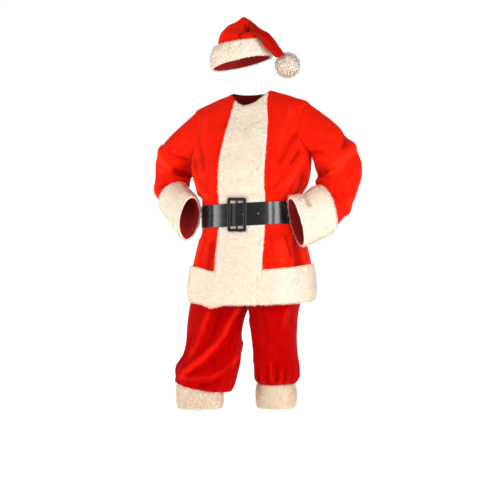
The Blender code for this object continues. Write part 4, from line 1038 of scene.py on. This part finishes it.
def trouser_leg(name, sections, side, creases, seed):
    turns = np.linspace(0, 2 * math.pi, LEG_ROUND + 1)
    legs = list(sections.values())
    rings = np.array(
        [hip_ring(s, legs[0], side, turns) for s in HIPS.values()] + [leg_ring(s, side, turns) for s in legs]
    )
    gather = {"calf": 0.3, "overhang": 1.0, "tuck": 1.0, "gathered": 0.6}
    for section, share in gather.items():
        row = len(HIPS) + list(sections).index(section)
        away = unit(rings[row] - rings[row, :-1].mean(0))
        wave = LEG_GATHER_DEPTH * np.cos(turns * LEG_GATHERS)
        wave += FINE_GATHER_DEPTH * np.sin(turns * FINE_GATHERS + 2 * np.sin(turns * 5))
        rings[row] += away * (share * wave)[:, None]
    rings[len(HIPS) :, -1] = rings[len(HIPS) :, 0]
    steps = even_steps(rings)
    points = through(rings, steps)
    centre = points[:, :-1].mean(1, keepdims=True)
    out = surface_normals(points, False, centre)
    sewn = steps >= len(HIPS)
    both = unit(out[sewn, 0] + out[sewn, -1])
    out[sewn, 0] = out[sewn, -1] = both
    for column in (0, -1):
        out[~sewn, column] = unit(out[~sewn, column] * (0, 1, 1))
    stand = creased(points, grid_place(points, steps, LEG_ROUND), creases)
    hidden = eased((steps - 3.5) / 1.5)[:, None]
    stand += LEG_SLACK * uneven(points * (1, 1, 0.5), 26, seed) * hidden
    stand[:, -1] = stand[:, 0]
    points = points + out * stand[..., None]
    points[:, 0] += [side * SEAM, -SEAM, 0]
    points[:, -1] += [side * SEAM, SEAM, 0]
    middle = LEG_ROUND // 2
    halves = {"front": (slice(0, middle + 1), -1), "back": (slice(middle, None), 1)}
    for half, (columns, away) in halves.items():
        cloth, normal = points[:, columns].copy(), out[:, columns]
        # Painted highlight on the creases' ridges and painted shade in their troughs.
        nap_and_fold_shading = fold_shading_tone(stand[:, columns], LEG_FOLD_SHADING_DEPTH)
        cloth[:, -1 if half == "front" else 0, 1] += away * SEAM / 2
        cloth = dipped(cloth, normal, ((1, half == "front"),))
        inner = cloth - CLOTH * normal
        made = shell(f"trouser_{half}_{name}_cloth", cloth, inner, VELOUR_DARK, VELOUR_BACK, False, nap_and_fold_shading)
        stands_for(made, "velour_dark", f"trouser_{half}_{name}")
    leg_cuff(name, legs[-1], side, seed + 40)


def leg_cuff(name, top, side, seed):
    """The trim tube below a leg."""
    turns = round_turns(LEG_CUFF_ROUND)
    rows = []
    for share in np.linspace(0, 1, 20):
        height = top.z - CUFF_GAP[name] - share * LEG_CUFF_HEIGHT
        inset = CUFF_INSET - CUFF_BULGE * math.sin(math.pi * share)
        halves = top.half_x - inset, top.half_y - inset
        rows.append(leg_ring(LegSection(top.x, top.y, height, *halves, top.tilt * (1 - share)), side, turns))
    points = np.array(rows)
    centre = points.mean(1, keepdims=True)
    out = unit((points - centre) * (1, 1, 0))
    base = points - LAY * out
    # The trouser cuffs take the plush with painted shade, drawn darker and warmer.
    made, tips = trim(f"trouser_cuff_{name}_plush", base, out, True, ROUND_EDGES, seed, centre, shaded_cuff=True)
    stands_for(made, "plush", f"trouser_cuff_{name}")


def waistband():
    """The trousers' elastic casing, gathered in small even pleats."""
    angles = np.broadcast_to(round_turns(WAIST_ROUND), (WAIST_ROWS, WAIST_ROUND))
    levels = station("belt low") + np.linspace(0, 1, WAIST_ROWS)
    grid = np.broadcast_to(levels[:, None], angles.shape)
    points = torso(angles, grid, fine=False)
    out = surface_normals(points, True, points * (0, 0, 1))
    pleat = WAIST_PLEAT_DEPTH * np.cos(angles * WAIST_PLEATS)
    outer = points - (CLOTH + WAIST_CLEAR - pleat)[..., None] * out
    # Painted highlight on the pleats' tops and painted shade in their hollows.
    inner, nap_and_fold_shading = outer - CLOTH * out, fold_shading_tone(pleat)
    made = shell("trouser_waistband_cloth", outer, inner, VELOUR_DARK, VELOUR_BACK, True, nap_and_fold_shading)
    stands_for(made, "velour_dark", "trouser_waistband")


def hat():
    turns = round_turns(HAT_ROUND)
    rings = rings_of(list(HAT.values()), turns, np.array([0, -1.0, 0]))
    steps = even_steps(rings, HAT_ROW)
    points = through(rings, steps)
    centre = points.mean(1, keepdims=True)
    out = surface_normals(points, True, centre)
    stand = creased(points, grid_place(points, steps, HAT_ROUND), HAT_CREASES)
    stand += HAT_SLACK * uneven(points, 34, 5) * eased((len(rings) - 1 - steps) / 2)[:, None]
    points = points + out * stand[..., None]
    out = surface_normals(points, True, centre)
    # Painted light from the folds, fading to painted shade over the tail so that the tail is painted darker.
    nap_and_fold_shading = fold_shading_tone(stand) * (1 - 0.9 * eased((steps - TAIL_SHADE_FROM) / 0.6))[:, None]
    made = shell("hat_crown_cloth", points, points - CLOTH * out, VELOUR, VELOUR_BACK, True, nap_and_fold_shading)
    stands_for(made, "velour", "hat_crown")
    last = int(np.searchsorted(steps, HAT_BAND_TOP)) + 1
    band, tips = trim("hat_band_plush", points[:last], out[:last], True, ROUND_EDGES, 71, centre[:last])
    stands_for(band, "plush", "hat_band")
    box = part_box("hat_pompom")
    pompom((box[0] + box[1]) / 2)


def pompom(centre):
    """A round bunch of pile with a dense core."""
    build = bmesh.new()
    bmesh.ops.create_icosphere(build, subdivisions=4, radius=POMPOM_CORE)
    bmesh.ops.translate(build, verts=build.verts[:], vec=centre)
    for vert in build.verts:
        away = (vert.co - centre).normalized()
        vert.co += away * POMPOM_LUMP * noise.noise(vert.co * 120)
    mesh = built(build, "hat_pompom_core", PLUSH)
    mesh.shade_smooth()
    stands_for(linked("hat_pompom_core", mesh), "plush", "hat_pompom")
    rows, columns = 24, 48
    polar = np.linspace(0.02, math.pi - 0.02, rows)[:, None]
    turns = round_turns(columns)[None, :]
    level, up = np.sin(polar), np.cos(polar) + 0 * turns
    out = np.stack([level * np.cos(turns), level * np.sin(turns), up], -1)
    points = np.array(centre) + out * (POMPOM_CORE - POMPOM_ROOTS)
    length = np.full((rows, columns), POMPOM_RADIUS - POMPOM_CORE + 2 * POMPOM_ROOTS)
    per_m2 = POMPOM_STRANDS / (4 * math.pi * POMPOM_CORE**2)
    pile("hat_pompom_pile", points, out, length, (0, 0, -0.1), 81, True, PLUSH_TIPS, per_m2)


BELT_ANGLES = np.linspace(-2.5 * math.pi, 0.5 * math.pi, 361)
BELT_LINE = torso_plain(BELT_ANGLES, np.full(BELT_ANGLES.shape, station("belt low") + 0.5))
BELT_ARC = np.concatenate([[0], np.cumsum(np.linalg.norm(np.diff(BELT_LINE, axis=0), axis=1))])
BELT_ROUND = float(np.interp(0, BELT_ANGLES, BELT_ARC) - np.interp(-2 * math.pi, BELT_ANGLES, BELT_ARC))
BUCKLE_ARC = float(np.interp(0, BELT_ANGLES, BELT_ARC)) - BUCKLE_SHIFT
STRAP_BASE = LAY + STRAP_PRESSED + STRAP_GAP
STRAP_ON_CLOTH = LAY + STRAP_GAP
LIFT_SECOND = BELT_THICKNESS + SEAM
LIFT_BAR = BELT_THICKNESS + CENTRE_BAR_DEPTH + 3 * SEAM
LAP = (
    (-0.060, LIFT_SECOND),
    (-0.018, LIFT_SECOND),
    (-0.005, LIFT_BAR),
    (0.005, LIFT_BAR),
    (0.045, 0.0),
)
TRIM_ANGLE = 30
TRIM_EASE = 9


def belt_frame(near, height):
    """A point and normal on the belted jacket: metres from the buckle, and share of the belt's height."""
    angle = np.interp(BUCKLE_ARC + np.asarray(near, float), BELT_ARC, BELT_ANGLES)
    level = station("belt low") + np.asarray(height, float)
    step = 1e-3
    point = torso(angle, level, fine=False)
    along_angle = torso(angle + step, level, False) - torso(angle - step, level, False)
    along_level = torso(angle, level + step, False) - torso(angle, level - step, False)
    return point, unit(np.cross(along_angle, along_level)), angle


def strap_stand(near):
    """How far the strap's inside stands off the panels. Near runs back from the fixed end."""
    angle = belt_frame(near, 0.5)[2]
    turned = np.abs((np.degrees(angle) + 180) % 360 - 180)
    over_trim = 1 - eased((turned - TRIM_ANGLE) / TRIM_EASE)
    base = STRAP_ON_CLOTH + (STRAP_BASE - STRAP_ON_CLOTH) * over_trim
    places, lifts = zip(*LAP)
    places = np.array(places) - BELT_ROUND
    smooth = np.zeros(np.shape(near))
    for shift in np.linspace(-0.008, 0.008, 9):
        smooth = smooth + np.interp(near + shift, places, lifts) / 9
    return base + smooth


def belt():
    """The strap, once round and lapped behind its free end, with rounded edges and punched holes."""
    near = np.arange(FIXED_END, -FREE_END - BELT_ROUND, -STRAP_ROW)
    profile = np.array(STRAP_PROFILE)
    heights = STRAP_LOW + (STRAP_HIGH - STRAP_LOW) * profile
    grid = np.broadcast_to(near, (len(heights), len(near)))
    points, out, _ = belt_frame(grid, np.broadcast_to(heights[:, None], grid.shape))
    edge = np.minimum(profile, 1 - profile) * STRAP_HEIGHT
    fall = 1 - np.clip(edge / STRAP_EDGE_ROUND, 0, 1)
    rounding = STRAP_EDGE_DEPTH * (1 - np.sqrt(1 - fall**2))
    stand = strap_stand(grid)
    wave = STRAP_WAVE * uneven(points, 22, 9)
    outside = (stand + BELT_THICKNESS + wave - rounding[:, None])[..., None]
    inside = (stand + 0.3 * rounding[:, None])[..., None]
    strap = shell("belt_strap_vinyl", points + outside * out, points + inside * out, VINYL, VINYL)
    stands_for(strap, "vinyl", "belt_strap")
    for number in BELT_HOLES:
        widen = PRONG_HOLE if number == 0 else 1.0
        cut = strap.modifiers.new(f"hole_{number}", "BOOLEAN")
        cut.operation = "DIFFERENCE"
        cut.object = belt_hole(PRONG_HOLE_AT + number * BELT_HOLE_PITCH, BELT_HOLE * widen)
    bpy.context.view_layer.update()
    holed = bpy.data.meshes.new_from_object(strap.evaluated_get(bpy.context.evaluated_depsgraph_get()))
    strap.modifiers.clear()
    strap.data = holed
    for cutter in [o for o in bpy.data.objects if o.name.startswith("hole_cutter")]:
        bpy.data.objects.remove(cutter, do_unlink=True)


def belt_hole(near, radius):
    point, out, _ = belt_frame(near, 0.5)
    build = bmesh.new()
    bmesh.ops.create_cone(build, cap_ends=True, segments=28, radius1=radius, radius2=radius, depth=0.03)
    cutter = linked("hole_cutter", built(build, "hole_cutter"))
    cutter.matrix_world = frame_at(point, out)
    cutter.hide_render = True
    return cutter


def frame_at(place, out):
    """A matrix whose Z is the normal and whose Y is upright, at a place."""
    z_axis = Vector(out).normalized()
    x_axis = Vector((0, 0, 1)).cross(z_axis).normalized()
    y_axis = z_axis.cross(x_axis)
    turned = Matrix((x_axis, y_axis, z_axis)).transposed().to_4x4()
    turned.translation = Vector(place)
    return turned


def buckle_place():
    point, out, _ = belt_frame(0.0, 0.5)
    return frame_at(point + out * STRAP_BASE, out)


def placed(points, place):
    turned = np.array(place)
    return points @ turned[:3, :3].T + turned[:3, 3]


def round_box(half_x, half_y, corner, steps=8):
    """The outline of a rectangle with round corners."""
    points = []
    for turn, (side_x, side_y) in enumerate(((1, 1), (-1, 1), (-1, -1), (1, -1))):
        centre_x, centre_y = side_x * (half_x - corner), side_y * (half_y - corner)
        for step in range(steps + 1):
            swing = (turn + step / steps) * math.pi / 2
            points.append((centre_x + corner * math.cos(swing), centre_y + corner * math.sin(swing)))
    return points


def buckle():
    """A rounded rectangular frame over the strap, its centre bar and its prong."""
    low, high = BUCKLE_LOW, BUCKLE_LOW + BUCKLE_DEPTH
    side = high - BUCKLE_ROUND
    crown = [(0.0, low), (0.0, side)]
    for step in range(1, 7):
        swing = step / 7 * math.pi / 2
        crown.append((BUCKLE_ROUND_INSET * (1 - math.cos(swing)), side + BUCKLE_ROUND * math.sin(swing)))
    crown.append((BUCKLE_ROUND, high))
    profile = crown + [(BUCKLE_BAR - inset, height) for inset, height in reversed(crown)]
    rows = []
    for inset, height in profile:
        corner = BUCKLE_CORNER - inset * (BUCKLE_CORNER - INNER_CORNER) / BUCKLE_BAR
        outline = round_box(BUCKLE_WIDTH / 2 - inset, BUCKLE_HEIGHT / 2 - inset, corner)
        rows.append([(x, y, height) for x, y in outline])
    grid = np.array(rows)
    count, columns = grid.shape[:2]
    index = np.arange(count * columns).reshape(count, columns)
    below, beside = np.roll(index, -1, 0), np.roll(index, -1, 1)
    faces = np.stack([index, beside, np.roll(below, -1, 1), below], -1).reshape(-1, 4)
    made = mesh_of("belt_buckle_frame", placed(grid.reshape(-1, 3), buckle_place()), faces, (BUCKLE_FINISH,))
    made.data.set_sharp_from_angle(angle=math.radians(50))
    stands_for(made, "buckle", "belt_buckle")
    build = bmesh.new()
    bmesh.ops.create_cube(build, size=1.0)
    size = (CENTRE_BAR, BUCKLE_HEIGHT - BUCKLE_BAR, CENTRE_BAR_DEPTH)
    bmesh.ops.scale(build, vec=size, verts=build.verts[:])
    middle = BELT_THICKNESS + SEAM + CENTRE_BAR_DEPTH / 2
    bmesh.ops.translate(build, vec=(0, 0, middle), verts=build.verts[:])
    bmesh.ops.bevel(build, geom=build.edges[:], offset=0.0008, segments=3, affect="EDGES")
    mesh = built(build, "belt_buckle_bar", BUCKLE_FINISH)
    mesh.transform(buckle_place())
    stands_for(linked("belt_buckle_bar", mesh), "buckle")
    prong(high)


def prong(high):
    curve = bpy.data.curves.new("belt_prong_rod", "CURVE")
    curve.dimensions = "3D"
    curve.bevel_depth = PRONG_RADIUS
    curve.bevel_resolution = 4
    curve.use_fill_caps = True
    rest = high + PRONG_RADIUS + SEAM
    route = (*PRONG_ROUTE, (PRONG_REST, rest), (BUCKLE_WIDTH / 2 + PRONG_PAST, rest))
    at = np.linspace(0, len(route) - 1, 36)
    line = curve.splines.new("POLY")
    line.points.add(len(at) - 1)
    for point, (along, height) in zip(line.points, through(route, at)):
        point.co = (along, 0, height, 1.0)
    curve.materials.append(BUCKLE_FINISH)
    made = linked("belt_prong_rod", curve)
    made.matrix_world = buckle_place()
    stands_for(made, "buckle", "belt_prong")


class Nodes:
    """A node tree with short calls for its nodes."""

    def __init__(self, tree):
        self.tree = tree

    def node(self, kind, **sockets):
        """A new node whose sockets are linked to a source or set to a value."""
        made = self.tree.nodes.new("ShaderNode" + kind)
        self.feed(made, **sockets)
        return made

    def feed(self, node, **sockets):
        for label, value in sockets.items():
            self.into(node.inputs[label.replace("_", " ")], value)

    def into(self, socket, value):
        if isinstance(value, bpy.types.NodeSocket):
            self.tree.links.new(value, socket)
        elif isinstance(value, tuple) and socket.type == "RGBA":
            socket.default_value = (*value, 1.0)
        else:
            socket.default_value = value

    def eased(self, value, low, high, to_low=0.0, to_high=1.0):
        made = self.node("MapRange", Value=value, From_Min=low, From_Max=high, To_Min=to_low, To_Max=to_high)
        made.interpolation_type = "SMOOTHSTEP"
        return made.outputs["Result"]


class Finish(Nodes):
    """A material with its Principled shader and short calls for the nodes that feed it."""

    def __init__(self, name, **sockets):
        self.material = bpy.data.materials.new(name)
        self.material.use_nodes = True
        super().__init__(self.material.node_tree)
        self.shader = self.tree.nodes["Principled BSDF"]
        self.feed(self.shader, **sockets)
        self.where = self.node("TexCoord").outputs["Object"]

    def stretched(self, scale):
        """Coordinates scaled along X, Y and Z."""
        return self.node("Mapping", Vector=self.where, Scale=scale).outputs["Vector"]

    def grain(self, scale, detail=3.0, where=None):
        made = self.node("TexNoise", Vector=where or self.where, Scale=scale, Detail=detail)
        return made.outputs["Fac"]

    def read(self, name, output="Fac"):
        """The value that a mesh's points have under a name."""
        made = self.node("Attribute")
        made.attribute_name = name
        return made.outputs[output]

    def mixed(self, share, first, second):
        made = self.node("Mix", Factor=share)
        made.data_type = "RGBA"
        for label, colour in (("A", first), ("B", second)):
            self.into(next(s for s in made.inputs if s.name == label and s.type == "RGBA"), colour)
        return next(s for s in made.outputs if s.type == "RGBA")

    def bump(self, *heights):
        """Chained bumps from (value, distance in metres, strength) rows."""
        for value, distance, strength in heights:
            made = self.node("Bump", Distance=distance, Strength=strength, Height=value)
            if self.shader.inputs["Normal"].is_linked:
                self.feed(made, Normal=self.shader.inputs["Normal"].links[0].from_socket)
            self.feed(self.shader, Normal=made.outputs["Normal"])


def velour(name, bright, shade, painted_highlight, painted_shade, sheen, tint):
    """Brushed plush cloth: short pile with vertical streaks and brushed patches, and painted light from the
    folds: a painted highlight on ridges and painted shade in troughs.
    """
    made = Finish(name, Roughness=0.85, Specular_IOR_Level=0.15, Sheen_Weight=sheen, Sheen_Roughness=0.42)
    made.feed(made.shader, Sheen_Tint=tint, Specular_Tint=tint)
    streaks = made.grain(1.0, 3.0, made.stretched((170, 170, 26)))
    patches = made.grain(17, 2.0)
    fuzz = made.grain(950, 2.0)
    first = made.mixed(made.eased(streaks, 0.38, 0.68, 0.0, 0.6), bright, shade)
    second = made.mixed(made.eased(patches, 0.35, 0.7, 0.0, 0.45), first, shade)
    third = made.mixed(made.eased(fuzz, 0.35, 0.75, 0.0, 0.35), second, shade)
    # Painted light: fold ridges take the painted highlight colour and fold troughs the painted shade colour.
    nap_and_fold_shading = made.read("nap_and_fold_shading")
    lit = made.mixed(made.eased(nap_and_fold_shading, 0.6, 1.0, 0.0, 0.8), third, painted_highlight)
    made.feed(made.shader, Base_Color=made.mixed(made.eased(nap_and_fold_shading, 0.0, 0.48, 0.85, 0.0), lit, painted_shade))
    made.bump((patches, 0.0030, 0.25), (streaks, 0.0006, 0.35), (fuzz, 0.0005, 0.5))
    return made.material


def backing(name, colour):
    """The knitted wrong side of the cloth: fine vertical ribs."""
    made = Finish(name, Roughness=0.92, Specular_IOR_Level=0.15)
    loops = made.grain(1.0, 1.0, made.stretched((900, 900, 420)))
    darker = tuple(0.6 * c for c in colour)
    made.feed(made.shader, Base_Color=made.mixed(made.eased(loops, 0.35, 0.65), darker, colour))
    made.bump((loops, 0.0005, 0.6))
    return made.material


def plush(name, tips, cream=CREAM, root=CREAM_ROOT):
    """Cream pile. Tips read how far along a strand they are, and each strand's own tone."""
    made = Finish(name, Roughness=0.95, Specular_IOR_Level=0.12, Sheen_Weight=0.25, Sheen_Roughness=0.5)
    made.feed(made.shader, Sheen_Tint=(1.0, 0.95, 0.88))
    if tips:
        warm = made.mixed(made.read("tone"), cream, tuple(0.94 * c for c in cream))
        colour = made.mixed(made.eased(made.read("along"), 0.0, 0.6), root, warm)
        facing = made.read("facing", "Vector")
        made.feed(made.shader, Base_Color=colour, Normal=facing)
        back = made.node("VectorMath", Vector=facing)
        back.operation = "SCALE"
        made.feed(back, Scale=-1.0)
        shine = made.node("BsdfTranslucent", Color=colour, Normal=back.outputs["Vector"])
        both = made.node("AddShader")
        made.into(both.inputs[0], made.shader.outputs["BSDF"])
        made.into(both.inputs[1], shine.outputs["BSDF"])
        made.feed(made.tree.nodes["Material Output"], Surface=both.outputs["Shader"])
    else:
        clumps = made.grain(150, 3.0)
        fine = made.grain(900, 2.0)
        made.feed(made.shader, Base_Color=made.mixed(made.eased(clumps, 0.35, 0.65), root, cream))
        made.bump((clumps, 0.0025, 0.6), (fine, 0.0008, 0.6))
    return made.material


def vinyl(name):
    """Glossy black imitation leather with a fine grain and soft scuffs."""
    made = Finish(name, Specular_IOR_Level=0.2, Coat_Weight=1.0, Coat_Roughness=0.20)
    pebbles = made.node("TexVoronoi", Vector=made.where, Scale=750).outputs["Distance"]
    scuffs = made.grain(60, 4.0)
    made.feed(made.shader, Base_Color=BLACK, Roughness=made.eased(scuffs, 0.35, 0.7, 0.24, 0.42))
    made.bump((scuffs, 0.0008, 0.12), (pebbles, 0.0002, 0.35))
    return made.material


def moulded(name):
    """Glossy black-brown plastic with slight waviness and worn gloss."""
    made = Finish(name, Specular_IOR_Level=0.5, Coat_Weight=0.35, Coat_Roughness=0.06)
    wear = made.grain(90, 3.0)
    made.feed(made.shader, Base_Color=made.mixed(made.eased(wear, 0.4, 0.7), BRONZE_BLACK, BLACK))
    made.feed(made.shader, Roughness=made.eased(wear, 0.35, 0.7, 0.16, 0.32))
    made.bump((wear, 0.0006, 0.25))
    return made.material


def pale_floor():
    """White paper lit from below, so that it has no horizon behind the suit."""
    made = Finish("pale_floor", Roughness=0.95, Specular_IOR_Level=0.1)
    depth = made.node("SeparateXYZ", Vector=made.where).outputs["Y"]
    made.feed(made.shader, Base_Color=(0.8, 0.8, 0.8), Emission_Color=(1.0, 1.0, 1.0))
    made.feed(made.shader, Emission_Strength=made.eased(depth, *FLOOR_FADE, *FLOOR_GLOW))
    return made.material


def light(name, place, aim, size, watts):
    lamp = bpy.data.lights.new(name, "AREA")
    lamp.shape = "RECTANGLE"
    lamp.size, lamp.size_y = size
    lamp.energy = watts
    aimed(linked(name, lamp), place, aim)


def aimed(made, place, aim):
    made.location = place
    made.rotation_euler = (Vector(aim) - made.location).to_track_quat("-Z", "Y").to_euler()


def studio():
    """A pale floor at the level of the wearer's soles, soft light from the front, and the camera."""
    bpy.context.scene.view_settings.view_transform = "Standard"
    world = bpy.data.worlds.new("studio")
    bpy.context.scene.world = world
    world.use_nodes = True
    sky = Nodes(world.node_tree)
    parts = sky.node("SeparateXYZ", Vector=sky.node("TexCoord").outputs["Generated"])
    height = sky.node("Math", Value=parts.outputs["Z"])
    height.operation = "ABSOLUTE"
    behind = sky.node("Math", Value=parts.outputs["Y"])
    behind.operation = "SUBTRACT"
    sky.into(behind.inputs[1], height.outputs["Value"])
    glow = sky.eased(behind.outputs["Value"], *SKY_FADE, *SKY)
    sky.feed(world.node_tree.nodes["Background"], Color=(1.0, 1.0, 1.0), Strength=glow)
    build = bmesh.new()
    bmesh.ops.create_grid(build, x_segments=4, y_segments=4, size=FLOOR_SIZE / 2)
    floor = linked("floor", built(build, "floor", pale_floor()))
    floor.location.z = SOLE_LEVEL
    for row in LIGHTS:
        light(*row)
    camera = bpy.data.cameras.new("camera")
    camera.lens = FOCAL_MM
    camera.sensor_width = SENSOR_MM
    camera.shift_x = SHIFT_X
    eye = linked("camera", camera)
    side, front = CAMERA_AWAY * math.sin(CAMERA_TURN), CAMERA_AWAY * math.cos(CAMERA_TURN)
    aimed(eye, (side, -front, CAMERA_HEIGHT), (0, 0, AIM_HEIGHT))
    bpy.context.scene.camera = eye


VELOUR = velour("red_velour", RED, RED_SHADE, RED_PAINTED_HIGHLIGHT, RED_PAINTED_SHADE, 0.40, (1.0, 0.12, 0.05))
DARK_REDS = (DARK_RED, DARK_RED_SHADE, DARK_RED_PAINTED_HIGHLIGHT, DARK_RED_PAINTED_SHADE)
VELOUR_DARK = velour("red_velour_trousers", *DARK_REDS, 0.30, (1.0, 0.02, 0.015))
VELOUR_BACK = backing("velour_backing", LINING)
PLUSH = plush("cream_plush", False)
PLUSH_TIPS = plush("cream_pile", True)
# Painted shade: darker, warmer copies of the cream plush for the trouser cuffs.
SHADED_CUFF_PLUSH = plush("shaded_cuff_plush", False, SHADED_CUFF_CREAM, SHADED_CUFF_ROOT)
SHADED_CUFF_PLUSH_TIPS = plush("shaded_cuff_pile", True, SHADED_CUFF_CREAM, SHADED_CUFF_ROOT)
VINYL = vinyl("black_vinyl")
BUCKLE_FINISH = moulded("buckle_plastic")

studio()
jacket_body()
jacket_trim()
sleeve("left", SLEEVE_LEFT, 1, SLEEVE_CREASES_LEFT, 3)
sleeve("right", SLEEVE_RIGHT, -1, SLEEVE_CREASES_RIGHT, 4)
trouser_leg("left", LEG_LEFT, 1, LEG_CREASES_LEFT, 6)
trouser_leg("right", LEG_RIGHT, -1, LEG_CREASES_RIGHT, 7)
waistband()
hat()
belt()
buckle()
